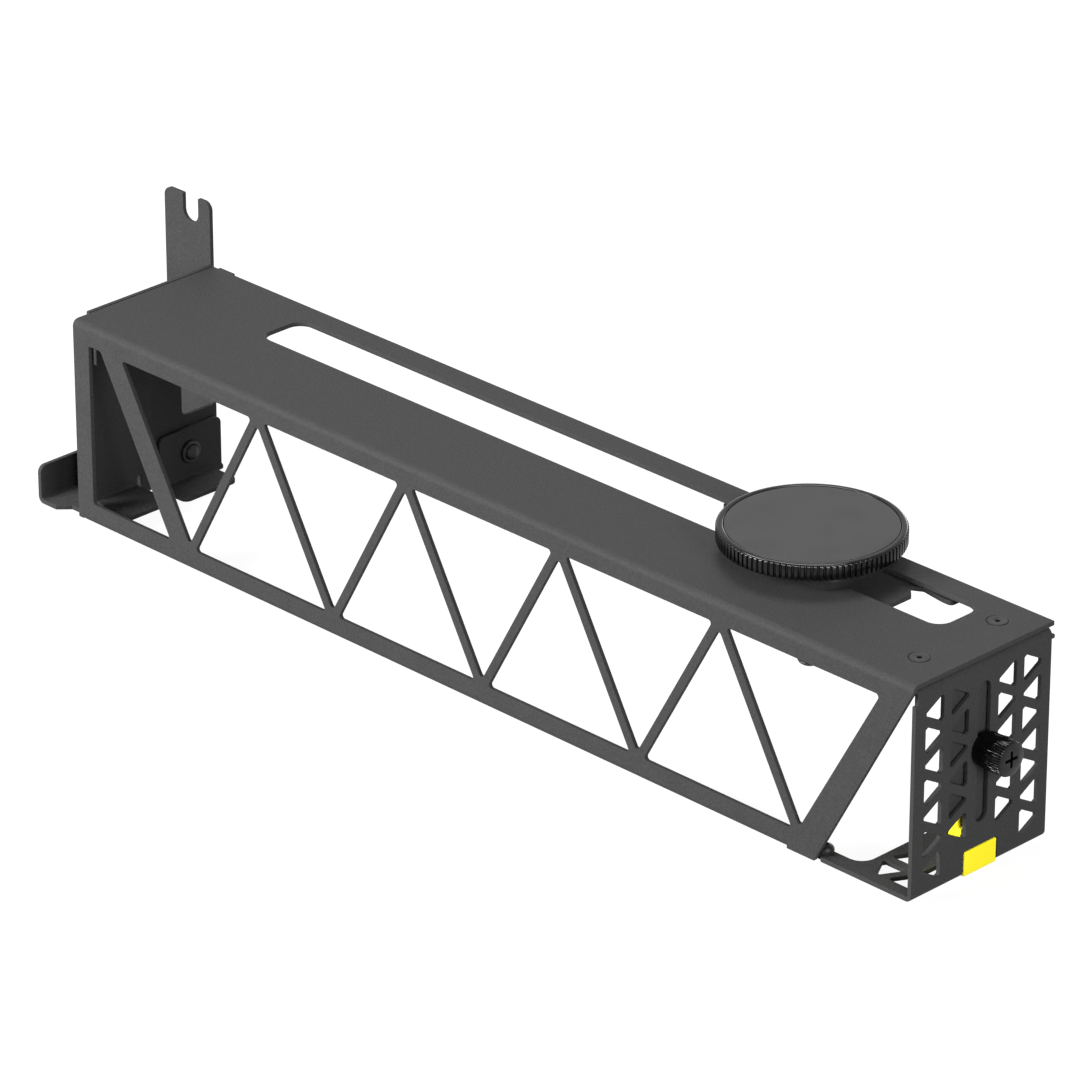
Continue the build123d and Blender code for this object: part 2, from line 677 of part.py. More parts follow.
# Pan head screw in the floor strip
with BuildPart() as floor_screw:
    with BuildSketch(floor.offset(SHEET)):
        with Locations((FLOOR_SCREW_X, FLOOR_SCREW_Y)):
            Circle(FLOOR_HEAD_RADIUS)
    extrude(amount=FLOOR_HEAD_HEIGHT)
    chamfer(
        floor_screw.edges().filter_by(GeomType.CIRCLE).group_by(Axis.Z)[-1],
        length=FLOOR_HEAD_HEIGHT / 4,
    )
    with BuildSketch(floor):
        with Locations((FLOOR_SCREW_X, FLOOR_SCREW_Y)):
            Circle(FLOOR_SHANK_RADIUS)
    extrude(amount=SHEET)
floor_screw.part.label = "floor_screw"

# Leg slide: sheet strip behind the end plate with a joggled tongue
with BuildPart() as leg_slide:
    with BuildSketch(front.offset(-LEG_BACK)):
        with BuildLine():
            Polyline(
                (LEG_OUTER - SHEET / 2, LEG_TOP),
                (LEG_OUTER - SHEET / 2, LEG_JOGGLE_TOP),
                (LEG_OUTER - LEG_JOGGLE - SHEET / 2, LEG_JOGGLE_FOOT),
                (LEG_OUTER - LEG_JOGGLE - SHEET / 2, LEG_TONGUE_FOOT),
            )
        trace(line_width=SHEET)
    extrude(amount=LEG_BACK - LEG_FRONT)
    fillet(
        leg_slide.edges().filter_by(Axis.X).group_by(Axis.Z)[-1],
        radius=LEG_CORNER,
    )
    with BuildSketch(side.offset(LEG_OUTER - SHEET)):
        with Locations((GUIDE_Y, THUMB_Z)):
            Circle(THUMB_SHANK_RADIUS + HOLE_PLAY)
    extrude(amount=SHEET, mode=Mode.SUBTRACT)
leg_slide.part.label = "leg_slide"

# Moulded shoe around the tongue, with a boss that fills the notch
with BuildPart() as leg_foot:
    with BuildSketch(side.offset(LEG_OUTER - SHOE_THICKNESS)):
        with Locations((LEG_FRONT, 0)):
            Rectangle(LEG_BACK - LEG_FRONT, SHOE_TOP, align=(Align.MIN, Align.MIN))
    extrude(amount=SHOE_THICKNESS)
    fillet(leg_foot.edges().filter_by(Axis.Z).group_by(Axis.X)[0], radius=SHOE_CORNER)
    with BuildSketch(side.offset(LEG_OUTER)) as boss:
        with Locations((NOTCH_FRONT + BOSS_CLEARANCE, 0)):
            Rectangle(
                NOTCH_BACK - NOTCH_FRONT - 2 * BOSS_CLEARANCE,
                NOTCH_HEIGHT - BOSS_CLEARANCE,
                align=(Align.MIN, Align.MIN),
            )
        fillet(boss.vertices().group_by(Axis.Z)[-1], radius=NOTCH_CORNER)
    extrude(amount=PLATE_FACE - LEG_OUTER)
    with BuildSketch(front.offset(-LEG_BACK)):
        with Locations((LEG_OUTER - LEG_JOGGLE + TONGUE_FIT, LEG_TONGUE_FOOT - TONGUE_FIT)):
            Rectangle(
                SHEET + 2 * TONGUE_FIT,
                SHOE_TOP - LEG_TONGUE_FOOT + TONGUE_FIT,
                align=(Align.MAX, Align.MIN),
            )
    extrude(amount=LEG_BACK - LEG_FRONT, mode=Mode.SUBTRACT)
leg_foot.part.label = "leg_foot"

# Clinch nut on the back of the leg slide
with BuildPart() as leg_nut:
    with BuildSketch(side.offset(LEG_OUTER - SHEET)):
        with Locations((GUIDE_Y, THUMB_Z)):
            RegularPolygon(LEG_NUT_RADIUS, 6)
            Circle(THUMB_SHANK_RADIUS + THREAD_FIT, mode=Mode.SUBTRACT)
    extrude(amount=-LEG_NUT_HEIGHT)
leg_nut.part.label = "leg_nut"

# Thumbscrew with a ridged head and a cross recess
with BuildPart() as thumbscrew:
    with BuildSketch(side.offset(PLATE_FACE + THUMB_GAP)):
        with Locations((GUIDE_Y, THUMB_Z)):
            Circle(THUMB_HEAD_RADIUS - THUMB_RIDGE)
    extrude(amount=THUMB_PLAIN)
    with BuildSketch(side.offset(PLATE_FACE + THUMB_GAP + THUMB_PLAIN)):
        with Locations((GUIDE_Y, THUMB_Z)):
            Polygon(
                *[
                    (
                        (THUMB_HEAD_RADIUS - THUMB_RIDGE * (n % 2)) * cos(pi * n / THUMB_RIDGES),
                        (THUMB_HEAD_RADIUS - THUMB_RIDGE * (n % 2)) * sin(pi * n / THUMB_RIDGES),
                    )
                    for n in range(2 * THUMB_RIDGES)
                ],
                align=None,
            )
    extrude(amount=THUMB_HEAD_LENGTH - THUMB_PLAIN)
    with BuildSketch(side.offset(RIGHT_END)):
        with Locations((GUIDE_Y, THUMB_Z)):
            Rectangle(CROSS_SPAN, CROSS_WIDTH)
            Rectangle(CROSS_WIDTH, CROSS_SPAN)
    extrude(amount=-CROSS_DEPTH, mode=Mode.SUBTRACT)
    with BuildSketch(side.offset(PLATE_FACE + THUMB_GAP)):
        with Locations((GUIDE_Y, THUMB_Z)):
            Circle(THUMB_SHANK_RADIUS)
    extrude(amount=-THUMB_REACH)
thumbscrew.part.label = "thumbscrew"

# Carriage cap: rounded plate over the slot with a neck that runs in it
with BuildPart() as carriage_cap:
    with BuildSketch(floor.offset(CAP_BOTTOM)):
        with Locations((AXIS_X, SLOT_Y)):
            RectangleRounded(CAP_LENGTH, CAP_WIDTH, CAP_CORNER)
    extrude(amount=CAP_THICKNESS)
    chamfer(carriage_cap.faces().sort_by(Axis.Z)[-1].edges(), length=CAP_EDGE)
    with BuildSketch(floor.offset(CAP_BOTTOM)) as neck:
        with Locations((AXIS_X, SLOT_Y)):
            Rectangle(NECK_LENGTH, SLOT_BACK - SLOT_FRONT - 2 * NECK_CLEARANCE)
        chamfer(neck.vertices(), length=NECK_CORNER)
    extrude(amount=TRAY_UNDER + SHEET - CAP_BOTTOM)
    with BuildSketch(floor.offset(TRAY_UNDER + SHEET)):
        with Locations((AXIS_X - TRAY_SCREW_X, SLOT_Y), (AXIS_X + TRAY_SCREW_X, SLOT_Y)):
            Circle(TRAY_SCREW_RADIUS + THREAD_FIT)
    extrude(amount=TRAY_SCREW_LENGTH, mode=Mode.SUBTRACT)
    with BuildSketch(floor.offset(TRAY_UNDER + SHEET)):
        with Locations((AXIS_X, SLOT_Y)):
            RegularPolygon(BUSH_RADIUS + THREAD_FIT, 6)
    extrude(amount=CAP_TOP - TRAY_UNDER - SHEET, mode=Mode.SUBTRACT)
carriage_cap.part.label = "carriage_cap"

# Glide pad between the cap and the rail
with BuildPart() as carriage_glide:
    with BuildSketch(floor.offset(GLIDE_BOTTOM)):
        with Locations((AXIS_X, SLOT_Y)):
            RectangleRounded(CAP_LENGTH - 2 * GLIDE_INSET, CAP_WIDTH - 2 * GLIDE_INSET, CAP_CORNER)
    extrude(amount=GLIDE_THICKNESS)
    with BuildSketch(floor.offset(GLIDE_BOTTOM)) as neck_hole:
        with Locations((AXIS_X, SLOT_Y)):
            Rectangle(
                NECK_LENGTH + 2 * THREAD_FIT,
                SLOT_BACK - SLOT_FRONT - 2 * NECK_CLEARANCE + 2 * THREAD_FIT,
            )
        chamfer(neck_hole.vertices(), length=NECK_CORNER)
    extrude(amount=GLIDE_THICKNESS, mode=Mode.SUBTRACT)
carriage_glide.part.label = "carriage_glide"

# Tray under the rail, with long tongues under the back strip
with BuildPart() as carriage_tray:
    with BuildSketch(floor.offset(TRAY_UNDER)):
        with BuildLine():
            Polyline(
                (AXIS_X - TRAY_LENGTH / 2, TRAY_FRONT),
                (AXIS_X + TRAY_LENGTH / 2, TRAY_FRONT),
                (AXIS_X + TRAY_LENGTH / 2, TRAY_STEP_Y - TRAY_CHAMFER),
                (AXIS_X + TRAY_LENGTH / 2 - TRAY_CHAMFER, TRAY_STEP_Y),
                (AXIS_X + TRAY_LENGTH / 2 - TRAY_CHAMFER + TRAY_HOLLOW, TRAY_HOLLOW_Y),
                (AXIS_X + TRAY_REACH / 2 - TRAY_TIP, TRAY_TIP_Y),
                (AXIS_X + TRAY_REACH / 2, TRAY_TIP_Y),
                (AXIS_X + TRAY_REACH / 2, TRAY_BACK),
                (AXIS_X - TRAY_REACH / 2, TRAY_BACK),
                (AXIS_X - TRAY_REACH / 2, TRAY_TIP_Y),
                (AXIS_X - TRAY_REACH / 2 + TRAY_TIP, TRAY_TIP_Y),
                (AXIS_X - TRAY_LENGTH / 2 + TRAY_CHAMFER - TRAY_HOLLOW, TRAY_HOLLOW_Y),
                (AXIS_X - TRAY_LENGTH / 2 + TRAY_CHAMFER, TRAY_STEP_Y),
                (AXIS_X - TRAY_LENGTH / 2, TRAY_STEP_Y - TRAY_CHAMFER),
                close=True,
            )
        make_face()
        with Locations((AXIS_X, SLOT_Y)):
            Circle(SPINDLE_RADIUS + 2 * HOLE_PLAY, mode=Mode.SUBTRACT)
        with Locations((AXIS_X - TRAY_SCREW_X, SLOT_Y), (AXIS_X + TRAY_SCREW_X, SLOT_Y)):
            Circle(TRAY_SCREW_RADIUS + HOLE_PLAY, mode=Mode.SUBTRACT)
    extrude(amount=SHEET)
    fillet(
        carriage_tray.edges().filter_by(Axis.Z).group_by(Axis.X)[-1]
        + carriage_tray.edges().filter_by(Axis.Z).group_by(Axis.X)[0],
        radius=TRAY_CORNER,
    )
carriage_tray.part.label = "carriage_tray"

# Screws that hold the tray to the neck
with BuildPart() as tray_screws:
    with BuildSketch(floor.offset(TRAY_UNDER)):
        with Locations((AXIS_X - TRAY_SCREW_X, SLOT_Y), (AXIS_X + TRAY_SCREW_X, SLOT_Y)):
            RegularPolygon(TRAY_HEAD_RADIUS, 6)
    extrude(amount=-TRAY_HEAD_HEIGHT)
    with BuildSketch(floor.offset(TRAY_UNDER)):
        with Locations((AXIS_X - TRAY_SCREW_X, SLOT_Y), (AXIS_X + TRAY_SCREW_X, SLOT_Y)):
            Circle(TRAY_SCREW_RADIUS)
    extrude(amount=TRAY_SCREW_LENGTH)
tray_screws.part.label = "tray_screws"

# Threaded bush pressed into the cap
with BuildPart() as threaded_bush:
    with BuildSketch(floor.offset(TRAY_UNDER + SHEET)):
        with Locations((AXIS_X, SLOT_Y)):
            RegularPolygon(BUSH_RADIUS, 6)
            Circle(SPINDLE_RADIUS + THREAD_FIT, mode=Mode.SUBTRACT)
    extrude(amount=CAP_TOP - TRAY_UNDER - SHEET)
threaded_bush.part.label = "threaded_bush"

# Spindle that carries the wheel
with BuildPart() as spindle:
    with BuildSketch(floor.offset(SPINDLE_BOTTOM)):
        with Locations((AXIS_X, SLOT_Y)):
            Circle(SPINDLE_RADIUS)
    extrude(amount=CUP_FLOOR - SPINDLE_BOTTOM)
    chamfer(
        spindle.edges().filter_by(GeomType.CIRCLE).group_by(Axis.Z)[0],
        length=SPINDLE_CHAMFER,
    )
    with BuildSketch(floor.offset(CLIP_Z)):
        with Locations((AXIS_X, SLOT_Y)):
            Circle(SPINDLE_RADIUS)
            Circle(SPINDLE_RADIUS - CLIP_GROOVE, mode=Mode.SUBTRACT)
    extrude(amount=CLIP_THICKNESS + 2 * THREAD_FIT, mode=Mode.SUBTRACT)
    with BuildSketch(floor.offset(CUP_FLOOR)):
        with Locations((AXIS_X, SLOT_Y)):
            Circle(CARRIER_PIN_RADIUS + PIN_PLAY)
    extrude(amount=-CARRIER_PIN_LENGTH - 2 * HOLE_PLAY, mode=Mode.SUBTRACT)
spindle.part.label = "spindle"

# Open clip that stops the spindle at full height
with BuildPart() as spindle_clip:
    with BuildSketch(floor.offset(CLIP_Z + THREAD_FIT)):
        with Locations((AXIS_X, SLOT_Y)):
            Circle(CLIP_RADIUS)
            Circle(SPINDLE_RADIUS - CLIP_GROOVE + THREAD_FIT, mode=Mode.SUBTRACT)
            Rectangle(CLIP_RADIUS, CLIP_MOUTH, align=(Align.MIN, Align.CENTER), mode=Mode.SUBTRACT)
    extrude(amount=CLIP_THICKNESS)
spindle_clip.part.label = "spindle_clip"

# Ridged wheel with a shallow cup for the pad
with BuildPart() as knurled_wheel:
    with BuildSketch(floor.offset(WHEEL_BOTTOM)):
        with Locations((AXIS_X, SLOT_Y)):
            Polygon(
                *[
                    (
                        (WHEEL_RADIUS - RIDGE_DEPTH * (n % 2)) * cos(pi * n / RIDGE_COUNT),
                        (WHEEL_RADIUS - RIDGE_DEPTH * (n % 2)) * sin(pi * n / RIDGE_COUNT),
                    )
                    for n in range(2 * RIDGE_COUNT)
                ],
                align=None,
            )
    extrude(amount=RIDGE_HEIGHT)
    with BuildSketch(floor.offset(WHEEL_BOTTOM + RIDGE_HEIGHT)):
        with Locations((AXIS_X, SLOT_Y)):
            Circle(WHEEL_RADIUS - RIDGE_DEPTH)
    extrude(amount=WHEEL_HEIGHT - RIDGE_HEIGHT)
    with BuildSketch(floor.offset(WHEEL_TOP)):
        with Locations((AXIS_X, SLOT_Y)):
            Circle(PAD_RADIUS + PAD_PLAY)
    extrude(amount=-CUP_DEPTH, mode=Mode.SUBTRACT)
    with BuildSketch(floor.offset(WHEEL_TOP)):
        with Locations((AXIS_X, SLOT_Y)):
            Circle(SPINDLE_RADIUS + THREAD_FIT)
    extrude(amount=-WHEEL_HEIGHT, mode=Mode.SUBTRACT)
knurled_wheel.part.label = "knurled_wheel"

# Carrier disc whose pin turns in the spindle
with BuildPart() as pad_carrier:
    with BuildSketch(floor.offset(CARRIER_BOTTOM)):
        with Locations((AXIS_X, SLOT_Y)):
            Circle(PAD_RADIUS)
    extrude(amount=CARRIER_THICKNESS)
    with BuildSketch(floor.offset(CARRIER_BOTTOM)):
        with Locations((AXIS_X, SLOT_Y)):
            Circle(CARRIER_PIN_RADIUS)
    extrude(amount=CUP_FLOOR - CARRIER_PIN_LENGTH - CARRIER_BOTTOM)
pad_carrier.part.label = "pad_carrier"

# Soft pad that touches the graphics card
with BuildPart() as support_pad:
    with BuildSketch(floor.offset(PAD_BOTTOM)):
        with Locations((AXIS_X, SLOT_Y)):
            Circle(PAD_RADIUS)
    extrude(amount=PAD_THICKNESS)
support_pad.part.label = "support_pad"

# One file for each piece
os.makedirs("parts", exist_ok=True)
export_step(truss_frame.part, "parts/truss_frame.step")
export_step(end_bracket.part, "parts/end_bracket.step")
export_step(rear_mount_bracket.part, "parts/rear_mount_bracket.step")
export_step(flange_rivets.part, "parts/flange_rivets.step")
export_step(inner_angle.part, "parts/inner_angle.step")
export_step(angle_nut.part, "parts/angle_nut.step")
export_step(angle_bolt.part, "parts/angle_bolt.step")
export_step(flush_screws.part, "parts/flush_screws.step")
export_step(flush_nuts.part, "parts/flush_nuts.step")
export_step(floor_screw.part, "parts/floor_screw.step")
export_step(leg_slide.part, "parts/leg_slide.step")
export_step(leg_foot.part, "parts/leg_foot.step")
export_step(leg_nut.part, "parts/leg_nut.step")
export_step(thumbscrew.part, "parts/thumbscrew.step")
export_step(carriage_cap.part, "parts/carriage_cap.step")
export_step(carriage_glide.part, "parts/carriage_glide.step")
export_step(carriage_tray.part, "parts/carriage_tray.step")
export_step(tray_screws.part, "parts/tray_screws.step")
export_step(threaded_bush.part, "parts/threaded_bush.step")
export_step(spindle.part, "parts/spindle.step")
export_step(spindle_clip.part, "parts/spindle_clip.step")
export_step(knurled_wheel.part, "parts/knurled_wheel.step")
export_step(pad_carrier.part, "parts/pad_carrier.step")
export_step(support_pad.part, "parts/support_pad.step")
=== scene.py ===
"""Looks of a graphics card support bracket: a folded truss rail with a drop leg and a screw lift."""

import logging
import math
from abc import ABC, abstractmethod
from dataclasses import dataclass
from enum import Enum
from typing import Callable, Sequence

import bmesh
import bpy
from mathutils import Matrix, Vector
from mathutils.bvhtree import BVHTree
from mathutils.kdtree import KDTree


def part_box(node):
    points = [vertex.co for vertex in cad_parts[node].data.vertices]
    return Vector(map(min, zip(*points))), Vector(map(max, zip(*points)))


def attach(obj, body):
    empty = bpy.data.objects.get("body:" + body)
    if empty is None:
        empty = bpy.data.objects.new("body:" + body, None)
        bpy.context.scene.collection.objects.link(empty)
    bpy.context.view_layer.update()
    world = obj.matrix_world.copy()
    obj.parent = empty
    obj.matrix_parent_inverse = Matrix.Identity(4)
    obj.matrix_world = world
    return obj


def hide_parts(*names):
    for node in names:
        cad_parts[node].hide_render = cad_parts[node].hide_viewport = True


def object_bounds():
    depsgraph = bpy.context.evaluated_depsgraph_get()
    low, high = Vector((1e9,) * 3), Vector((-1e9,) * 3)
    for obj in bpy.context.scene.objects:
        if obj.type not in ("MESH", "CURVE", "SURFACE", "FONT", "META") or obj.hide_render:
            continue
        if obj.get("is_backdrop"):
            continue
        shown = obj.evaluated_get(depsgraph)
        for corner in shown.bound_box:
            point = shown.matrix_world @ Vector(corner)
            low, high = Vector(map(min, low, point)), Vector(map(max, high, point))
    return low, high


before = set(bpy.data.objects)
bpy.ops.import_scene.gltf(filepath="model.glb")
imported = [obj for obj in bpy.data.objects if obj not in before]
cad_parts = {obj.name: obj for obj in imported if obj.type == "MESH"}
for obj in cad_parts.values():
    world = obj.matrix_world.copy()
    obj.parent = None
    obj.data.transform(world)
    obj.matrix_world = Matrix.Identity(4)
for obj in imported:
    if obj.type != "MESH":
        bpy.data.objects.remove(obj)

LOG = logging.getLogger("support_bracket")
MM = 0.001
QUARTER = math.pi / 2

# Thickness of every sheet, in millimetres.
SHEET_MM = 1.2
# Edges that turn by more than the first are shaded sharp, and by more than the second are rounded.
SMOOTH_DEG = 34.0
SHARP_DEG = 38.0
# Faces that turn by less than this are one face.
FLAT_DEG = 0.4
# Points of a source mesh, and of a finished one, that lie nearer than this are one point.
SOURCE_MERGE_MM = 0.002
MERGE_MM = 0.001
# A rounded point is off the shape if it is more than these many roundings from skin or corners.
OFF_SKIN = 0.5
OFF_CORNER = 4
# Steps across the rounded edge of a piece that isn't copied from a node.
FOLD_SEGMENTS = 3
# Rows of a threaded piece for one turn of its thread.
ROWS_PER_PITCH = 8
# The part of a noise pattern's range that holds nearly all of its values.
NOISE_SPAN = (0.3, 0.7)
NOISE_ROUGHNESS = 0.55
WHITE = (1.0, 1.0, 1.0, 1.0)

Piece = bpy.types.Object
Material = bpy.types.Material
Socket = bpy.types.NodeSocket
Tree = bpy.types.NodeTree
Work = bmesh.types.BMesh
Point = tuple[float, float]
Place = tuple[float, float, float]
Shape = Callable[[float, float, float], float]


class Drive(Enum):
    """Recesses that a screw head can have."""

    HEX = "hexagon socket"
    CROSS = "cross recess"


class Along(Enum):
    """Axes that a turned piece can stand on, as turns of its own +Z."""

    UP = Matrix.Identity(4)
    RIGHT = Matrix.Rotation(QUARTER, 4, "Y")


def linear(hex_colour: str) -> tuple[float, float, float, float]:
    """Turns an sRGB hex colour into linear light.

    Args:
        hex_colour: Colour as "#RRGGBB".

    Returns:
        Red, green, blue and an alpha of 1, each from 0 to 1.
    """
    channels = []
    for start in (1, 3, 5):
        value = int(hex_colour[start : start + 2], 16) / 255
        channels.append(value / 12.92 if value <= 0.04045 else ((value + 0.055) / 1.055) ** 2.4)
    return (*channels, 1.0)


def add_node(
    tree: Tree,
    kind: str,
    settings: dict[str | int, object] | None = None,
    links: dict[str | int, Socket] | None = None,
) -> bpy.types.Node:
    """Adds one shader node with its settings and links.

    Args:
        tree: Node tree that the node goes into.
        kind: Node type, without the "ShaderNode" that all of them start with.
        settings: Values by input name or number, or by the name of a property of the node.
        links: Sockets that feed the node's inputs, by input name or number.

    Returns:
        The new node.
    """
    node = tree.nodes.new("ShaderNode" + kind)
    for key, value in (settings or {}).items():
        if isinstance(key, str) and key not in node.inputs:
            setattr(node, key, value)
    for key, value in (settings or {}).items():
        if isinstance(key, int) or key in node.inputs:
            node.inputs[key].default_value = value
    for key, socket in (links or {}).items():
        tree.links.new(socket, node.inputs[key])
    return node


class Skin:
    """A node material in the making, with the patterns and relief that its finish adds."""

    def __init__(self, name: str, values: dict[str, float]) -> None:
        """Starts a material whose shader has these constant values, by the input's name."""
        self.material = bpy.data.materials.new(name)
        self.material.use_nodes = True
        self.tree = self.material.node_tree
        self.shader = self.tree.nodes["Principled BSDF"]
        for key, value in values.items():
            self.shader.inputs[key].default_value = value

    def mottle(self, size_mm: float, detail: float = 2.0, span: Point = (0.0, 1.0)) -> Socket:
        """Adds a noise pattern that lies on the object.

        Args:
            size_mm: Width of one cell.
            detail: How much finer noise a cell holds.
            span: Values of its dark and of its light cells.

        Returns:
            Socket with the pattern's value.
        """
        place = add_node(self.tree, "TexCoord")
        noise = add_node(
            self.tree,
            "TexNoise",
            {"Scale": 1 / (size_mm * MM), "Detail": detail, "Roughness": NOISE_ROUGHNESS},
            {"Vector": place.outputs["Object"]},
        )
        return self.spread(noise.outputs["Fac"], span, NOISE_SPAN)

    def spread(self, value: Socket, span: Point, known: Point = (0.0, 1.0)) -> Socket:
        """Stretches a value from its known range over a new one."""
        ends = {"From Min": known[0], "From Max": known[1], "To Min": span[0], "To Max": span[1]}
        return add_node(self.tree, "MapRange", ends, {"Value": value}).outputs["Result"]

    def blend(self, share: Socket, first: str, second: str) -> Socket:
        """Mixes two sRGB hex colours by a pattern."""
        colours = {"data_type": "RGBA", 6: linear(first), 7: linear(second)}
        return add_node(self.tree, "Mix", colours, {0: share}).outputs[2]

    def bumped(self, height: Socket, depth_mm: float, under: Socket | None = None) -> Socket:
        """Turns a pattern of this depth into a normal, which may lie on a coarser relief's normal."""
        links = {"Height": height}
        if under is not None:
            links["Normal"] = under
        relief = add_node(self.tree, "Bump", {"Strength": 1.0, "Distance": depth_mm * MM}, links)
        return relief.outputs["Normal"]

    def finished(self, colour: Socket, gloss: Socket, relief: Socket) -> Material:
        """Feeds the shader and returns the material."""
        for key, socket in (("Base Color", colour), ("Roughness", gloss), ("Normal", relief)):
            self.tree.links.new(socket, self.shader.inputs[key])
        return self.material


class Finish(ABC):
    """A surface that a piece is dressed in."""

    @abstractmethod
    def material(self) -> Material:
        """Makes the finish as a node material."""


@dataclass(frozen=True)
class PowderCoatedSteel(Finish):
    """Cold rolled sheet steel under a fine-textured charcoal powder coat.

    The eye gets a dry, dark grey skin whose cured grains scatter the light, with slow cloudy changes of
    tone and gloss. Real grains are about 0.1 mm across, and are drawn at five times that so that they show.
    """

    dark: str = "#2C2C2C"
    light: str = "#3A3A3A"
    grain_mm: float = 0.5
    grain_height_mm: float = 0.05
    peel_mm: float = 1.9
    peel_height_mm: float = 0.02
    cloud_mm: float = 9.0
    cloud_share: float = 0.3
    roughness: Point = (0.58, 0.72)

    def material(self) -> Material:
        """Makes the coat."""
        skin = Skin("powder_coated_steel", {"Specular IOR Level": 0.09})
        grain = skin.mottle(self.grain_mm, 3.0)
        peel = skin.mottle(self.peel_mm)
        cloud = skin.mottle(self.cloud_mm, 4.0)
        shares = {"data_type": "FLOAT", 0: self.cloud_share}
        tone = add_node(skin.tree, "Mix", shares, {2: grain, 3: cloud}).outputs[0]
        relief = skin.bumped(grain, self.grain_height_mm, skin.bumped(peel, self.peel_height_mm))
        return skin.finished(
            skin.blend(tone, self.dark, self.light), skin.spread(cloud, self.roughness), relief
        )


@dataclass(frozen=True)
class BlackOxideSteel(Finish):
    """Turned steel, chemically blackened and oiled.

    The eye gets a near black metal with a soft oily gloss, faint turning marks and paler patches where
    the oxide is thin.
    """

    dark: str = "#1A1A1A"
    light: str = "#2A2A2A"
    patch_mm: float = 1.4
    mark_mm: float = 0.16
    mark_height_mm: float = 0.004
    roughness: Point = (0.36, 0.54)

    def material(self) -> Material:
        """Makes the blackened steel."""
        skin = Skin("black_oxide_steel", {"Metallic": 0.35, "Specular IOR Level": 0.25})
        return skin.finished(
            skin.blend(skin.mottle(self.patch_mm, 4.0), self.dark, self.light),
            skin.mottle(self.patch_mm / 2, span=self.roughness),
            skin.bumped(skin.mottle(self.mark_mm), self.mark_height_mm),
        )


@dataclass(frozen=True)
class ZincPlatedSteel(Finish):
    """Bright zinc plate on steel.

    The eye gets a pale bluish metal with crisp reflections, slightly clouded by the plating's crystals.
    """

    dark: str = "#A9ABAE"
    light: str = "#CDCED0"
    crystal_mm: float = 0.5
    crystal_height_mm: float = 0.003
    roughness: Point = (0.2, 0.36)

    def material(self) -> Material:
        """Makes the plated steel."""
        skin = Skin("zinc_plated_steel", {"Metallic": 1.0})
        crystal = skin.mottle(self.crystal_mm, 3.0)
        return skin.finished(
            skin.blend(crystal, self.dark, self.light),
            skin.mottle(self.crystal_mm * 2, span=self.roughness),
            skin.bumped(crystal, self.crystal_height_mm),
        )


@dataclass(frozen=True)
class MachinedBrass(Finish):
    """Free-cutting brass, turned and left bare.

    The eye gets a warm yellow metal with fine tool marks and browner patches of tarnish.
    """

    dark: str = "#A8843F"
    light: str = "#D9B565"
    tarnish_mm: float = 1.2
    mark_mm: float = 0.2
    mark_height_mm: float = 0.003
    roughness: Point = (0.24, 0.4)

    def material(self) -> Material:
        """Makes the brass."""
        skin = Skin("machined_brass", {"Metallic": 1.0})
        return skin.finished(
            skin.blend(skin.mottle(self.tarnish_mm, 4.0), self.dark, self.light),
            skin.mottle(self.tarnish_mm / 2, span=self.roughness),
            skin.bumped(skin.mottle(self.mark_mm), self.mark_height_mm),
        )


@dataclass(frozen=True)
class MouldedPlastic(Finish):
    """Injection-moulded plastic from a spark-eroded mould.

    The eye gets one deep colour under an even, very fine matt grain, with a soft wide highlight. The mould's
    real pits are about 0.05 mm wide, and are drawn coarser so that they show.
    """

    name: str
    dark: str
    light: str
    roughness: Point = (0.42, 0.56)
    pit_mm: float = 0.28
    pit_depth_mm: float = 0.008
    flow_mm: float = 6.0

    def material(self) -> Material:
        """Makes the moulded surface."""
        skin = Skin(self.name, {"IOR": 1.53, "Specular IOR Level": 0.14})
        flow = skin.mottle(self.flow_mm)
        return skin.finished(
            skin.blend(flow, self.dark, self.light),
            skin.spread(flow, self.roughness),
            skin.bumped(skin.mottle(self.pit_mm), self.pit_depth_mm),
        )


@dataclass(frozen=True)
class AnodisedAluminium(Finish):
    """Black anodised aluminium, cut bright before it was dyed.

    The eye gets deep black ridges with narrow, hard highlights, and a faint dusting of handling marks that
    breaks up the gloss.
    """

    dark: str = "#070707"
    light: str = "#0F0F0F"
    smear_mm: float = 2.4
    scratch_mm: float = 0.12
    scratch_depth_mm: float = 0.002
    roughness: Point = (0.1, 0.2)

    def material(self) -> Material:
        """Makes the anodised surface."""
        skin = Skin("black_anodised_aluminium", {"IOR": 1.5, "Specular IOR Level": 0.22})
        smear = skin.mottle(self.smear_mm, 4.0)
        return skin.finished(
            skin.blend(smear, self.dark, self.light),
            skin.spread(smear, self.roughness),
            skin.bumped(skin.mottle(self.scratch_mm), self.scratch_depth_mm),
        )


@dataclass(frozen=True)
class PressedRubber(Finish):
    """Dense rubber disc, pressed against a polished plate.

    The eye gets an even dark grey with a low satin sheen at flat angles, and a fine grain that keeps the
    sheen from looking wet.
    """

    dark: str = "#252525"
    light: str = "#2F2F2F"
    grain_mm: float = 0.3
    grain_height_mm: float = 0.01
    cloud_mm: float = 7.0
    roughness: Point = (0.4, 0.52)

    def material(self) -> Material:
        """Makes the rubber."""
        skin = Skin("pressed_rubber", {"IOR": 1.52, "Specular IOR Level": 0.2})
        cloud = skin.mottle(self.cloud_mm, 3.0)
        return skin.finished(
            skin.blend(cloud, self.dark, self.light),
            skin.spread(cloud, self.roughness),
            skin.bumped(skin.mottle(self.grain_mm, 3.0), self.grain_height_mm),
        )


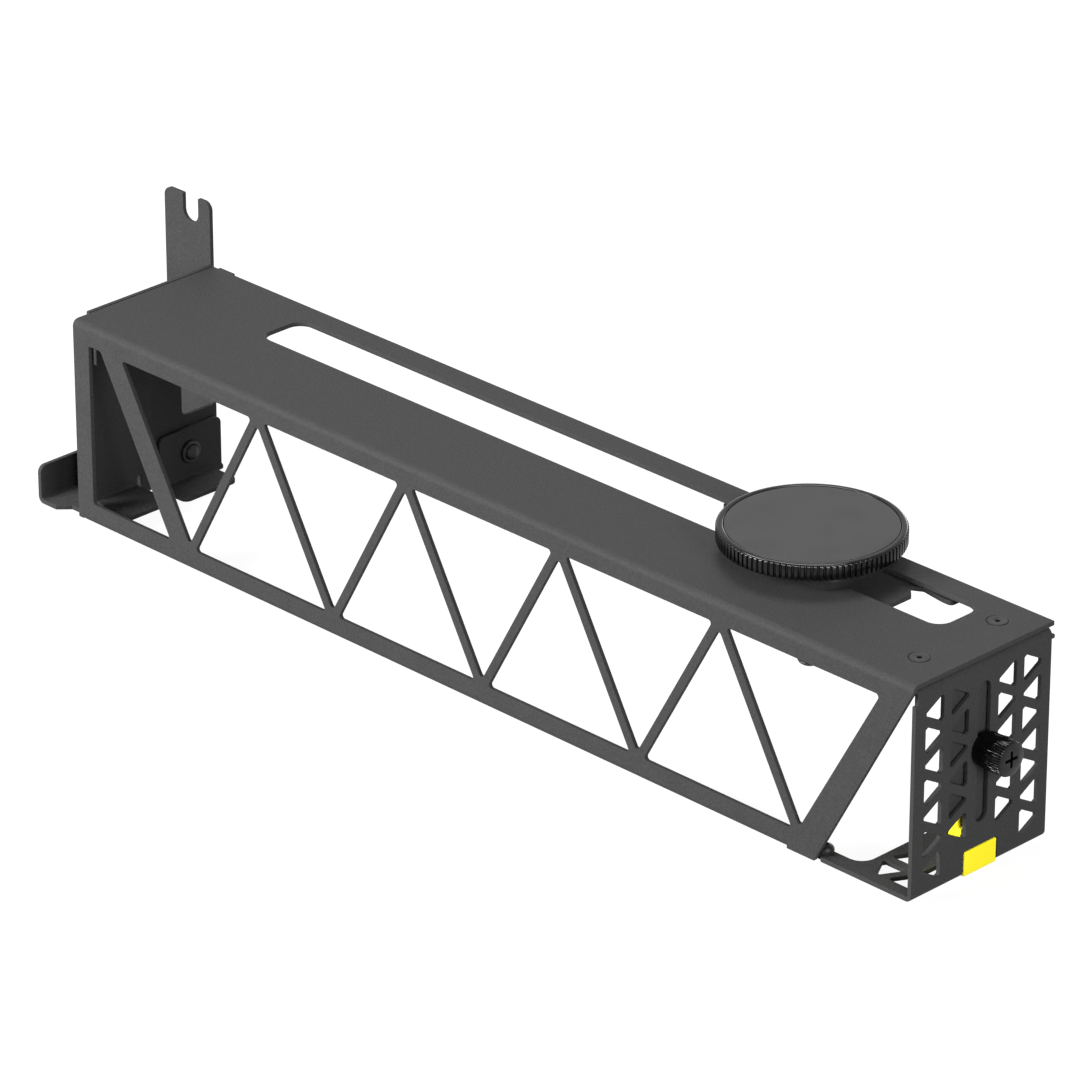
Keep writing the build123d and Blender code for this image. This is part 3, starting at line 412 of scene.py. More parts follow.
class Finishes:
    """The materials of the bracket, each made once."""

    def __init__(self) -> None:
        """Makes the materials."""
        self.coat = PowderCoatedSteel().material()
        self.oxide = BlackOxideSteel().material()
        self.zinc = ZincPlatedSteel().material()
        self.brass = MachinedBrass().material()
        self.yellow = MouldedPlastic("yellow_moulded_abs", "#F6E722", "#FBED2E").material()
        self.nylon = MouldedPlastic("black_moulded_nylon", "#1A1A1A", "#212121").material()
        self.anodised = AnodisedAluminium().material()
        self.rubber = PressedRubber().material()


class NodeBox:
    """Box of one node of the frame: corners in metres, and its sizes in millimetres."""

    def __init__(self, node: str) -> None:
        """Reads the box of a node."""
        self.low, self.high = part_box(node)
        self.middle = Vector([(least + most) / 2 for least, most in zip(self.low, self.high)])
        self.width, self.depth, self.height = [
            (most - least) / MM for least, most in zip(self.low, self.high)
        ]

    def foot(self) -> Vector:
        """Middle of the box's underside."""
        return Vector((self.middle.x, self.middle.y, self.low.z))

    def left_end(self) -> Vector:
        """Middle of the box's side towards -X."""
        return Vector((self.low.x, self.middle.y, self.middle.z))


def placed(name: str, data: bpy.types.ID) -> Piece:
    """Adds an object with this data to the scene."""
    piece = bpy.data.objects.new(name, data)
    bpy.context.scene.collection.objects.link(piece)
    return piece


def shade(mesh: bpy.types.Mesh) -> None:
    """Shades a mesh smooth, apart from its sharp edges."""
    mesh.shade_smooth()
    mesh.set_sharp_from_angle(angle=math.radians(SMOOTH_DEG))


def as_piece(name: str, work: Work) -> Piece:
    """Turns a bmesh, which is freed, into an object of the scene."""
    bmesh.ops.recalc_face_normals(work, faces=work.faces)
    mesh = bpy.data.meshes.new(name)
    work.to_mesh(mesh)
    work.free()
    shade(mesh)
    return placed(name, mesh)


def settle(piece: Piece, finish: Material, body: str, node: str) -> None:
    """Dresses a piece, says what body it rides on, and hides the node it replaces."""
    piece.data.materials.clear()
    piece.data.materials.append(finish)
    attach(piece, body)
    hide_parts(node)
    LOG.info("%s rides on %s, %d faces", piece.name, body, len(piece.data.polygons))


def mend_corners(work: Work, source: Work, edge_mm: float) -> None:
    """Puts back the corners that a rounding threw off its source, where many edges meet in one point."""
    skin = BVHTree.FromBMesh(source)
    corners = KDTree(len(source.verts))
    for number, vert in enumerate(source.verts):
        corners.insert(vert.co, number)
    corners.balance()
    for vert in work.verts:
        off_skin = skin.find_nearest(vert.co)[3] > OFF_SKIN * edge_mm * MM
        off_corner = corners.find(vert.co)[2] > OFF_CORNER * edge_mm * MM
        if off_skin or off_corner:
            around = [corners.find(edge.other_vert(vert).co) for edge in vert.link_edges]
            vert.co = min(around, key=lambda found: found[2])[0]


def merge_points(work: Work) -> None:
    """Joins points that lie on each other, so that no face without area is left."""
    bmesh.ops.remove_doubles(work, verts=work.verts, dist=MERGE_MM * MM)
    bmesh.ops.dissolve_degenerate(work, dist=MERGE_MM / 2 * MM, edges=work.edges)


def sharp_edges(work: Work) -> list[bmesh.types.BMEdge]:
    """Edges between two faces that turn enough to be rounded."""
    limit = math.radians(SHARP_DEG)
    return [
        edge for edge in work.edges if len(edge.link_faces) == 2 and edge.calc_face_angle(0.0) > limit
    ]


def round_edges(work: Work, edge_mm: float, segments: int, overlap: bool) -> None:
    """Rounds sharp edges. With overlap, roundings keep their width and may run into each other."""
    bmesh.ops.bevel(
        work,
        geom=sharp_edges(work),
        offset=edge_mm * MM,
        offset_type="OFFSET",
        segments=segments,
        profile=0.5,
        affect="EDGES",
        clamp_overlap=not overlap,
        loop_slide=overlap,
    )


def even_shading(piece: Piece) -> Piece:
    """Weighs a rounded piece's normals by its faces, so that flat faces look flat."""
    piece.modifiers.new("even_faces", "WEIGHTED_NORMAL").keep_sharp = True
    return piece


@dataclass(frozen=True)
class RoundedPart:
    """A node shown by its own shape, with its sharp edges rounded as a deburred and coated edge is."""

    node: str
    name: str
    edge_mm: float
    body: str
    slot: str
    segments: int = 2

    def shape(self) -> Piece:
        """Copies the node's shape, rounds it and keeps it in the node's box."""
        work = bmesh.new()
        work.from_mesh(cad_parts[self.node].data)
        bmesh.ops.remove_doubles(work, verts=work.verts, dist=SOURCE_MERGE_MM * MM)
        bmesh.ops.dissolve_limit(
            work,
            angle_limit=math.radians(FLAT_DEG),
            verts=work.verts,
            edges=work.edges,
            delimit={"NORMAL"},
        )
        source = work.copy()
        round_edges(work, self.edge_mm, self.segments, overlap=True)
        mend_corners(work, source, self.edge_mm)
        source.free()
        merge_points(work)
        low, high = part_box(self.node)
        for vert in work.verts:
            vert.co = [min(max(at, least), most) for at, least, most in zip(vert.co, low, high)]
        return even_shading(as_piece(self.name, work))

    def build(self, finish: Material) -> None:
        """Makes the piece and dresses it."""
        settle(self.shape(), finish, self.body, self.node)


def turned(
    name: str,
    profile: Sequence[Point],
    centre: Vector,
    along: Along = Along.UP,
    steps: int = 48,
    ring: bool = False,
    shape: Shape | None = None,
) -> Piece:
    """Turns a profile about an axis.

    Args:
        name: Name of the piece.
        profile: Radius and height of each point in millimetres. Open ends are closed with flat caps.
        centre: Where the profile's zero height lies on the axis, in metres.
        along: Direction of the axis.
        steps: Faces round the axis.
        ring: True if the profile's last point joins its first, round a hole.
        shape: Gives the radius at an angle, radius and height, for ridges and threads.

    Returns:
        The new piece.
    """
    work = bmesh.new()
    rows = []
    for radius, height in profile:
        row = []
        for step in range(steps):
            angle = 2 * math.pi * step / steps
            reach = shape(angle, radius, height) if shape else radius
            spot = Vector((reach * math.cos(angle), reach * math.sin(angle), height)) * MM
            row.append(work.verts.new(along.value @ spot + centre))
        rows.append(row)
    pairs = list(zip(rows, rows[1:]))
    if ring:
        pairs.append((rows[-1], rows[0]))
    for low, high in pairs:
        for step in range(steps):
            after = (step + 1) % steps
            work.faces.new((low[step], low[after], high[after], high[step]))
    if not ring:
        work.faces.new(list(reversed(rows[0])))
        work.faces.new(rows[-1])
    return as_piece(name, work)


def angles_to(end: float, steps: int, last: bool = True) -> list[float]:
    """Even angles from 0 to an end, with or without the last."""
    return [end * n / steps for n in range(steps + int(last))]


def arc(centre: Point, across: float, rise: float, angles: Sequence[float]) -> list[Point]:
    """Profile points on an ellipse with this centre, half width and half height."""
    return [(centre[0] + across * math.cos(turn), centre[1] + rise * math.sin(turn)) for turn in angles]


def rows_between(low: float, high: float, step: float) -> list[float]:
    """Evenly spaced heights from low to high, both included."""
    count = max(1, round((high - low) / step))
    return [low + (high - low) * n / count for n in range(count + 1)]


@dataclass(frozen=True)
class Thread:
    """A right-handed V thread.

    Its groove runs out over `fade_turns` at both ends. Half the groove is `half_groove` pitches wide.
    """

    pitch_mm: float
    depth_mm: float
    fade_turns: float = 1.0
    half_groove: float = 0.42

    def between(self, low: float, high: float) -> Shape:
        """Gives the radius of a rod that is threaded between two heights."""
        fade = self.pitch_mm * self.fade_turns

        def radius_at(angle: float, radius: float, height: float) -> float:
            """Radius with the groove taken off."""
            if not low < height < high:
                return radius
            turn = (height / self.pitch_mm - angle / (2 * math.pi)) % 1.0
            groove = max(0.0, 1 - abs(turn - 0.5) / self.half_groove)
            ease = min(1.0, (height - low) / fade, (high - height) / fade)
            return radius - self.depth_mm * groove * ease

        return radius_at

    def rows(self, low: float, high: float) -> list[float]:
        """Heights that draw the thread between two heights."""
        return rows_between(low, high, self.pitch_mm / ROWS_PER_PITCH)


@dataclass(frozen=True)
class Ridges:
    """Straight ridges round a head.

    The groove between two ridges has sloping flanks. A flank is a share of one ridge's width, and the
    groove's half width is counted in flanks.
    """

    count: int
    depth_mm: float
    half_groove: float
    flank: float
    steps_per_ridge: int

    @property
    def steps(self) -> int:
        """Faces round the axis."""
        return self.count * self.steps_per_ridge

    def between(self, low: float, high: float) -> Shape:
        """Gives the radius of a head that is ridged between two heights."""

        def radius_at(angle: float, radius: float, height: float) -> float:
            """Radius with the groove taken off."""
            if not low <= height <= high:
                return radius
            turn = (angle * self.count / (2 * math.pi)) % 1.0
            groove = min(1.0, max(0.0, self.half_groove - abs(turn - 0.5) / self.flank))
            return radius - self.depth_mm * groove

        return radius_at


def folded(
    name: str,
    outline: Sequence[Point],
    depth: Point,
    edge_mm: float,
    place: Callable[[float, float, float], Vector],
) -> Piece:
    """Pulls an outline through a depth and rounds its edges.

    Args:
        name: Name of the piece.
        outline: Corners in metres, in order.
        depth: Where the depth starts and ends.
        edge_mm: Width of the rounding.
        place: Puts outline coordinates and depth into the frame.

    Returns:
        The new piece.
    """
    work = bmesh.new()
    near, far = [[work.verts.new(place(u, v, at)) for u, v in outline] for at in depth]
    work.faces.new(near)
    work.faces.new(list(reversed(far)))
    for number in range(len(outline)):
        after = (number + 1) % len(outline)
        work.faces.new((near[number], far[number], far[after], near[after]))
    bmesh.ops.recalc_face_normals(work, faces=work.faces)
    round_edges(work, edge_mm, FOLD_SEGMENTS, overlap=False)
    return even_shading(as_piece(name, work))


def joined(name: str, pieces: Sequence[Piece]) -> Piece:
    """Joins pieces into one object and returns it under a new name."""
    work = bmesh.new()
    for piece in pieces:
        work.from_mesh(piece.data)
        bpy.data.objects.remove(piece)
    return as_piece(name, work)


def combined(target: Piece, tool: Piece, operation: str) -> bpy.types.Mesh:
    """Combines a piece with a tool by a Boolean, removes the tool and returns the piece's new mesh."""
    step = target.modifiers.new("combine", "BOOLEAN")
    step.operation = operation
    step.solver = "EXACT"
    step.object = tool
    shown = target.evaluated_get(bpy.context.evaluated_depsgraph_get())
    mesh = bpy.data.meshes.new_from_object(shown)
    target.modifiers.clear()
    target.data = mesh
    bpy.data.objects.remove(tool)
    return mesh


def carved(target: Piece, cutter: Piece) -> Piece:
    """Cuts one piece out of another, removes the cutter and returns the cut piece."""
    mesh = combined(target, cutter, "DIFFERENCE")
    work = bmesh.new()
    work.from_mesh(mesh)
    merge_points(work)
    work.to_mesh(mesh)
    work.free()
    shade(mesh)
    return target


@dataclass(frozen=True)
class Recess:
    """The recess of a screw head: its kind, its width across and its depth in millimetres.

    The blades of a cross taper towards their foot. Each cutter stands out of the head, to cut cleanly.
    """

    drive: Drive
    span: float
    depth: float
    stand_out: float = 1.0
    blade_stand_out: float = 0.4
    blade_ratio: float = 5.2
    foot_length: float = 0.62
    foot_width: float = 0.8

    def cutter(self, centre: Vector, along: Along) -> Piece:
        """Makes the cutter at the middle of the head's top, which faces along an axis."""
        if self.drive is Drive.HEX:
            profile = [(self.span / 2, -self.depth), (self.span / 2, self.stand_out)]
            return turned("socket", profile, centre, along, 6)
        first, second = [self.blade(turn, centre, along) for turn in (0.0, QUARTER)]
        combined(first, second, "UNION")
        return first

    def blade(self, turn: float, centre: Vector, along: Along) -> Piece:
        """Makes one of the two blades of a cross."""
        work = bmesh.new()
        bmesh.ops.create_cube(work, size=1.0)
        for vert in work.verts:
            foot = vert.co.z < 0
            vert.co.x *= self.span * (self.foot_length if foot else 1.0)
            vert.co.y *= self.span / self.blade_ratio * (self.foot_width if foot else 1.0)
            vert.co.z = -self.depth if foot else self.blade_stand_out
        bmesh.ops.rotate(work, verts=work.verts, cent=(0, 0, 0), matrix=Matrix.Rotation(turn, 3, "Z"))
        for vert in work.verts:
            vert.co = along.value @ (vert.co * MM) + centre
        return as_piece("blade", work)


@dataclass(frozen=True)
class FoldedSheets:
    """The truss rail, its two end brackets and the inner angle, all folded from coated sheet."""

    edge_mm: float = 0.16
    nodes: tuple[str, ...] = ("truss_frame", "end_bracket", "rear_mount_bracket", "inner_angle")

    def build(self, finishes: Finishes) -> None:
        """Rounds the cut edges of each sheet and dresses it."""
        for node in self.nodes:
            RoundedPart(node, node + "_sheet", self.edge_mm, "frame", "coated_steel").build(finishes.coat)


@dataclass(frozen=True)
class RivetPair:
    """Domed rivets through the left flange, flush outside."""

    shank_mm: float = 1.5
    chamfer_mm: float = 0.2
    head_height_mm: float = 0.9
    tip_mm: float = 0.2

    def build(self, finishes: Finishes) -> None:
        """Makes both rivets as one piece."""
        box = NodeBox("flange_rivets")
        head = box.height / 2
        length = box.width
        seat = length - self.head_height_mm
        half = self.head_height_mm / 2
        profile = [
            (self.shank_mm - self.chamfer_mm, 0.0),
            (self.shank_mm, self.chamfer_mm),
            (self.shank_mm, seat),
            (head, seat),
            *arc((0.0, seat + half), head, half, angles_to(QUARTER, 8, last=False)),
            (self.tip_mm, length),
        ]
        pair = [
            turned("rivet", profile, Vector((box.low.x, y, box.middle.z)), Along.RIGHT)
            for y in (box.low.y + head * MM, box.high.y - head * MM)
        ]
        settle(joined("flange_rivet_pair", pair), finishes.oxide, "frame", "flange_rivets")


@dataclass(frozen=True)
class FlushScrewPair:
    """Countersunk screws with a hexagon socket and a thread that passes the clinch nuts.

    Each pair of `cone` is taken off the head's radius and off its top. Each pair of `dish` is a radius
    and a depth below the top.
    """

    shank_mm: float = 1.5
    tip_mm: float = 0.35
    neck_mm: float = 1.5
    thread: Thread = Thread(0.5, 0.22)
    thread_start_mm: float = 0.3
    thread_end_mm: float = 1.7
    cone: tuple[Point, ...] = ((0.4, 0.6), (0.3, 0.16), (0.42, 0.05), (0.8, 0.02))
    dish: tuple[Point, ...] = ((1.3, 0.02), (1.0, 0.12))
    socket: Recess = Recess(Drive.HEX, 1.5, 1.1)

    def build(self, finishes: Finishes) -> None:
        """Makes both screws as one piece."""
        box = NodeBox("flush_screws")
        head = box.width / 2
        foot = -box.height
        rows = self.thread.rows(foot + self.tip_mm, -self.neck_mm)
        shape = self.thread.between(foot + self.thread_start_mm, -self.thread_end_mm)
        profile = [
            (self.shank_mm - self.tip_mm, foot),
            *[(self.shank_mm, height) for height in rows],
            *[(head - off, -depth) for off, depth in self.cone],
            *[(radius, -depth) for radius, depth in self.dish],
        ]
        pair = []
        for y in (box.low.y + head * MM, box.high.y - head * MM):
            centre = Vector((box.middle.x, y, box.high.z))
            screw = turned("screw", profile, centre, shape=shape)
            pair.append(carved(screw, self.socket.cutter(centre, Along.UP)))
        settle(joined("flush_screw_pair", pair), finishes.oxide, "frame", "flush_screws")


@dataclass(frozen=True)
class FloorScrew:
    """Domed screw that stands on the floor strip."""

    shank_mm: float = 1.25
    chamfer_mm: float = 0.1
    straight_share: float = 0.35
    socket: Recess = Recess(Drive.HEX, 1.3, 0.9)

    def build(self, finishes: Finishes) -> None:
        """Makes the screw."""
        box = NodeBox("floor_screw")
        head = box.width / 2
        rise = box.height - SHEET_MM
        straight = rise * self.straight_share
        profile = [
            (self.shank_mm, 0.0),
            (self.shank_mm, SHEET_MM),
            (head - self.chamfer_mm, SHEET_MM),
            (head, SHEET_MM + self.chamfer_mm),
            *arc((0.0, SHEET_MM + straight), head, rise - straight, angles_to(QUARTER, 9, last=False)),
        ]
        screw = turned("floor_dome_screw", profile, box.foot())
        top = box.foot() + Vector((0, 0, box.height * MM))
        carved(screw, self.socket.cutter(top, Along.UP))
        settle(screw, finishes.oxide, "frame", "floor_screw")


@dataclass(frozen=True)
class AngleBolt:
    """Hexagon bolt whose domed end shows inside the clinch nut."""

    head_height_mm: float = 2.4
    foot_chamfer: Point = (0.5, 0.3)
    top_chamfer: Point = (0.3, 0.15)
    shank_mm: float = 2.0
    dome_mm: float = 0.6
    dome_angles: tuple[float, ...] = (0.35, 0.7, 1.0, 1.3)
    thread: Thread = Thread(0.7, 0.3, 0.5)
    thread_end_mm: float = 0.5

    def build(self, finishes: Finishes) -> None:
        """Makes the head and the threaded stem as one piece."""
        box = NodeBox("angle_bolt")
        across = box.depth / 2
        head = self.head_height_mm
        flats = [
            (across - self.foot_chamfer[0], 0.0),
            (across, self.foot_chamfer[1]),
            (across, head - self.top_chamfer[1]),
            (across - self.top_chamfer[0], head),
        ]
        cap = turned("bolt_head", flats, box.left_end(), Along.RIGHT, 6)
        shoulder = box.width - self.dome_mm
        profile = [
            *[(self.shank_mm, height) for height in self.thread.rows(head, shoulder)],
            *arc((0.0, shoulder), self.shank_mm, self.dome_mm, self.dome_angles),
        ]
        shape = self.thread.between(head, box.width - self.thread_end_mm)
        stem = turned("bolt_stem", profile, box.left_end(), Along.RIGHT, shape=shape)
        bolt = joined("angle_bolt_threaded", [cap, stem])
        settle(bolt, finishes.oxide, "frame", "angle_bolt")


class FrameFasteners:
    """Rivets, screws, the bolt and the clinch nuts that hold the sheets together."""

    def build(self, finishes: Finishes) -> None:
        """Makes every fastener of the frame."""
        RivetPair().build(finishes)
        FlushScrewPair().build(finishes)
        FloorScrew().build(finishes)
        AngleBolt().build(finishes)
        nut = RoundedPart("angle_nut", "angle_nut_chamfered", 0.3, "frame", "black_screw", 3)
        nut.build(finishes.oxide)
        RoundedPart("flush_nuts", "flush_nut_pair", 0.18, "frame", "bright_steel").build(finishes.zinc)


@dataclass(frozen=True)
class Thumbscrew:
    """Turned head with straight ridges, a cross recess and a threaded shank.

    Each pair of `rim` is taken off the head's radius and off its length.
    """

    gap_mm: float = 0.05
    neck_mm: float = 1.9
    collar_mm: float = 1.0
    collar_inset_mm: float = 0.2
    collar_chamfer_mm: float = 0.15
    rim: tuple[Point, ...] = ((0.0, 0.55), (0.12, 0.3), (0.3, 0.08), (0.5, 0.0))
    ridges: Ridges = Ridges(44, 0.26, 1.6, 0.19, 6)
    ridge_inset_mm: float = 0.2
    recess: Recess = Recess(Drive.CROSS, 4.6, 1.7)
    shank_mm: float = 1.95
    tip_mm: float = 1.5
    tip_length_mm: float = 0.4
    collar_slope_mm: float = 0.25
    thread: Thread = Thread(0.7, 0.3)
    thread_start_mm: float = 0.3
    thread_end_mm: float = 1.6
    shank_steps: int = 40

    def head(self, centre: Vector, radius: float, length: float) -> Piece:
        """Makes the ridged head on the plate's face."""
        inner = radius - self.collar_inset_mm
        profile = [
            (self.neck_mm, self.gap_mm),
            (inner - self.collar_chamfer_mm, self.gap_mm),
            (inner, self.gap_mm + self.collar_chamfer_mm),
            (inner, self.collar_mm),
            (radius, self.collar_mm + self.collar_slope_mm),
            *[(radius - off, length - back) for off, back in self.rim],
        ]
        inset = self.ridge_inset_mm
        shape = self.ridges.between(self.collar_mm + inset, length - inset)
        cap = turned("thumb_head", profile, centre, Along.RIGHT, self.ridges.steps, shape=shape)
        top = centre + Vector((length * MM, 0, 0))
        return carved(cap, self.recess.cutter(top, Along.RIGHT))

    def shank(self, centre: Vector, reach: float) -> Piece:
        """Makes the threaded shank behind the plate's face."""
        rows = self.thread.rows(-reach + self.tip_length_mm, self.gap_mm)
        shape = self.thread.between(-reach + self.thread_start_mm, -self.thread_end_mm)
        profile = [(self.tip_mm, -reach), *[(self.shank_mm, height) for height in rows]]
        return turned("thumb_stem", profile, centre, Along.RIGHT, self.shank_steps, shape=shape)

    def build(self, finishes: Finishes) -> None:
        """Makes the head and the shank as one piece."""
        box = NodeBox("thumbscrew")
        plate = NodeBox("end_bracket").high.x
        centre = Vector((plate, box.middle.y, box.middle.z))
        cap = self.head(centre, box.depth / 2, (box.high.x - plate) / MM)
        stem = self.shank(centre, (plate - box.low.x) / MM)
        screw = joined("thumbscrew_ridged", [cap, stem])
        settle(screw, finishes.anodised, "thumbscrew", "thumbscrew")


@dataclass(frozen=True)
class DropLeg:
    """The sliding strip, its moulded shoe, the clinch nut and the thumbscrew that clamps them.

    Heights are above the rail's underside, and depths behind its front face.
    """

    strip_foot_mm: float = 11.9
    strip_shoulder_mm: float = 16.2
    strip_neck_mm: float = 20.5
    strip_corner_mm: float = 1.5
    strip_edge_mm: float = 0.14
    shank_hole_mm: float = 2.05
    hole_steps: int = 40
    hole_reach_mm: float = 5.0
    shoe_front_mm: float = 18.9
    shoe_depth_mm: float = 5.0
    shoe_top_mm: float = 19.2
    shoe_edge_mm: float = 0.3
    boss_top_mm: float = 6.3
    tongue_fit_mm: float = 0.05
    tongue_gap_mm: float = 0.1

    def build(self, finishes: Finishes) -> None:
        """Makes the leg and its clamp."""
        self.strip(finishes)
        self.shoe(finishes)
        RoundedPart("leg_nut", "leg_nut_chamfered", 0.2, "leg", "bright_steel").build(finishes.zinc)
        Thumbscrew().build(finishes)

    def strip(self, finishes: Finishes) -> None:
        """Flat strip behind the end plate, narrower at its foot, which ends above the notch."""
        box = NodeBox("leg_slide")
        low, high = box.low, box.high
        rail = NodeBox("truss_frame").low
        foot = rail.z + self.strip_foot_mm * MM
        shoulder = rail.z + self.strip_shoulder_mm * MM
        neck = rail.y + self.strip_neck_mm * MM
        corner = self.strip_corner_mm * MM
        outline = [
            (low.y, shoulder),
            (neck, shoulder),
            (neck, foot),
            (high.y, foot),
            (high.y, high.z - corner),
            (high.y - corner, high.z),
            (low.y + corner, high.z),
            (low.y, high.z - corner),
        ]
        depth = (high.x - SHEET_MM * MM, high.x)
        strip = folded(
            "leg_strip", outline, depth, self.strip_edge_mm, lambda y, z, x: Vector((x, y, z))
        )
        screw = NodeBox("thumbscrew").middle
        profile = [(self.shank_hole_mm, -self.hole_reach_mm), (self.shank_hole_mm, self.hole_reach_mm)]
        centre = Vector((high.x, screw.y, screw.z))
        hole = turned("shank_hole", profile, centre, Along.RIGHT, self.hole_steps)
        settle(carved(strip, hole), finishes.coat, "leg", "leg_slide")

    def shoe(self, finishes: Finishes) -> None:
        """Moulded shoe whose boss fills the notch in the end plate."""
        box = NodeBox("leg_foot")
        low, high = box.low, box.high
        rail = NodeBox("truss_frame").low
        outer = NodeBox("leg_slide").high.x
        inner = outer - self.shoe_depth_mm * MM
        tongue = outer - (SHEET_MM + self.tongue_fit_mm) * MM
        ledge = rail.z + (self.strip_foot_mm - self.tongue_gap_mm) * MM
        boss_top = rail.z + self.boss_top_mm * MM
        top = rail.z + self.shoe_top_mm * MM
        outline = [
            (inner, low.z),
            (high.x, low.z),
            (high.x, boss_top),
            (outer, boss_top),
            (outer, ledge),
            (tongue, ledge),
            (tongue, top),
            (inner, top),
        ]
        depth = (rail.y + self.shoe_front_mm * MM, high.y)
        shoe = folded(
            "leg_shoe_moulded", outline, depth, self.shoe_edge_mm, lambda x, z, y: Vector((x, y, z))
        )
        settle(shoe, finishes.yellow, "leg", "leg_foot")


class Carriage:
    """The sliding block under and over the slot, with its bush."""

    def build(self, finishes: Finishes) -> None:
        """Makes the cap, glide, tray, screws and bush."""
        parts = (
            ("carriage_cap", "carriage_cap_moulded", 0.2, "black_plastic", finishes.nylon),
            ("carriage_glide", "carriage_glide_moulded", 0.12, "black_plastic", finishes.nylon),
            ("carriage_tray", "carriage_tray_sheet", 0.14, "coated_steel", finishes.coat),
            ("tray_screws", "tray_screw_pair", 0.16, "black_screw", finishes.oxide),
            ("threaded_bush", "threaded_bush_chamfered", 0.15, "brass", finishes.brass),
        )
        for node, name, edge_mm, slot, finish in parts:
            RoundedPart(node, name, edge_mm, "carriage", slot).build(finish)


@dataclass(frozen=True)
class RidgedWheel:
    """Wheel with a rolled rim above its ridges and a cup for the pad.

    Each pair of `foot` is taken off the wheel's radius and stands above its underside. Each pair of
    `shoulder` is taken off the radius and stands above the ridges' upper end.
    """

    bore_mm: float = 3.05
    cup_depth_mm: float = 2.3
    cup_gap_mm: float = 0.1
    ridges: Ridges = Ridges(96, 0.5, 1.7, 0.15, 8)
    ridge_start_mm: float = 0.1
    ridge_end_mm: float = 0.03
    rim_height_mm: float = 0.42
    rim_inset_mm: float = 0.36
    roll_mm: float = 0.26
    foot: tuple[Point, ...] = ((1.2, 0.0), (0.6, 0.03), (0.2, 0.12), (0.0, 0.34))
    shoulder: tuple[Point, ...] = ((0.0, -0.22), (0.1, -0.06), (0.42, 0.02), (0.46, 0.06))

    def build(self, finishes: Finishes) -> None:
        """Makes the wheel."""
        box = NodeBox("knurled_wheel")
        radius = box.width / 2
        cup = NodeBox("support_pad").width / 2 + self.cup_gap_mm
        floor = box.height - self.cup_depth_mm
        ridge_top = box.height - self.rim_height_mm
        rim = radius - self.rim_inset_mm
        roll = ((rim + cup) / 2, box.height - self.roll_mm)
        profile = [
            (self.bore_mm, 0.0),
            *[(radius - off, height) for off, height in self.foot],
            *[(radius - off, ridge_top + height) for off, height in self.shoulder],
            *arc(roll, (rim - cup) / 2, self.roll_mm, angles_to(math.pi, 12)),
            (cup, floor),
            (self.bore_mm, floor),
        ]
        shape = self.ridges.between(self.ridge_start_mm, ridge_top - self.ridge_end_mm)
        steps = self.ridges.steps
        wheel = turned("ridged_wheel", profile, box.foot(), steps=steps, ring=True, shape=shape)
        settle(wheel, finishes.anodised, "wheel", "knurled_wheel")


@dataclass(frozen=True)
class Spindle:
    """Spindle with a full thread below the wheel and a groove for its clip."""

    thread: Thread = Thread(1.0, 0.5)
    thread_start_mm: float = 0.9
    plain_top_mm: float = 4.2
    rows_per_pitch: int = 10
    turning_fit_mm: float = 0.06
    groove_depth_mm: float = 0.5
    groove_play_mm: float = 0.05
    groove_wall_mm: float = 0.01
    tip: tuple[Point, ...] = ((1.0, 0.0), (0.35, 0.45))
    tip_length_mm: float = 1.0

    def build(self, finishes: Finishes) -> None:
        """Makes the spindle."""
        box = NodeBox("spindle")
        clip = NodeBox("spindle_clip")
        radius = box.width / 2 - self.turning_fit_mm
        length = box.height - self.turning_fit_mm
        low = (clip.low.z - box.low.z) / MM - self.groove_play_mm
        high = (clip.high.z - box.low.z) / MM + self.groove_play_mm
        cut = self.thread.between(self.thread_start_mm, length - self.plain_top_mm)

        def shape(angle: float, reach: float, height: float) -> float:
            """Thread radius, or the clip groove's where the clip sits."""
            if low <= height <= high:
                return min(reach, radius - self.groove_depth_mm)
            return cut(angle, reach, height)

        even = rows_between(self.tip_length_mm, length, self.thread.pitch_mm / self.rows_per_pitch)
        walls = {low - self.groove_wall_mm, low, high, high + self.groove_wall_mm}
        profile = [
            *[(radius - off, height) for off, height in self.tip],
            *[(radius, height) for height in sorted(set(even) | walls)],
        ]
        rod = turned("spindle_threaded", profile, box.foot(), shape=shape)
        settle(rod, finishes.oxide, "wheel", "spindle")


@dataclass(frozen=True)
class SupportPad:
    """Rubber disc with a rounded lip, a little below the wheel's rim."""

    chamfer_mm: float = 0.1
    lip_mm: float = 0.3
    rings: tuple[float, ...] = (0.9, 0.7, 0.5, 0.3, 0.1)
    steps: int = 160

    def build(self, finishes: Finishes) -> None:
        """Makes the disc."""
        box = NodeBox("support_pad")
        radius = box.width / 2
        lip = (radius - self.lip_mm, box.height - self.lip_mm)
        profile = [
            (radius - self.chamfer_mm, 0.0),
            (radius, self.chamfer_mm),
            *arc(lip, self.lip_mm, self.lip_mm, angles_to(QUARTER, 5)),
            *[(radius * share, box.height) for share in self.rings],
        ]
        disc = turned("support_pad_rubber", profile, box.foot(), steps=self.steps)
        settle(disc, finishes.rubber, "pad", "support_pad")


class LiftingWheel:
    """The ridged wheel on its threaded spindle, with the pad that stays still on top."""

    def build(self, finishes: Finishes) -> None:
        """Makes the wheel, spindle, clip, carrier and pad."""
        RidgedWheel().build(finishes)
        Spindle().build(finishes)
        clip = RoundedPart("spindle_clip", "spindle_clip_stamped", 0.12, "wheel", "bright_steel")
        clip.build(finishes.zinc)
        carrier = RoundedPart("pad_carrier", "pad_carrier_moulded", 0.1, "pad", "black_plastic")
        carrier.build(finishes.nylon)
        SupportPad().build(finishes)


def empty_tree(owner: Material | bpy.types.World) -> Tree:
    """Gives a material or world a node tree with nothing in it."""
    owner.use_nodes = True
    owner.node_tree.nodes.clear()
    return owner.node_tree


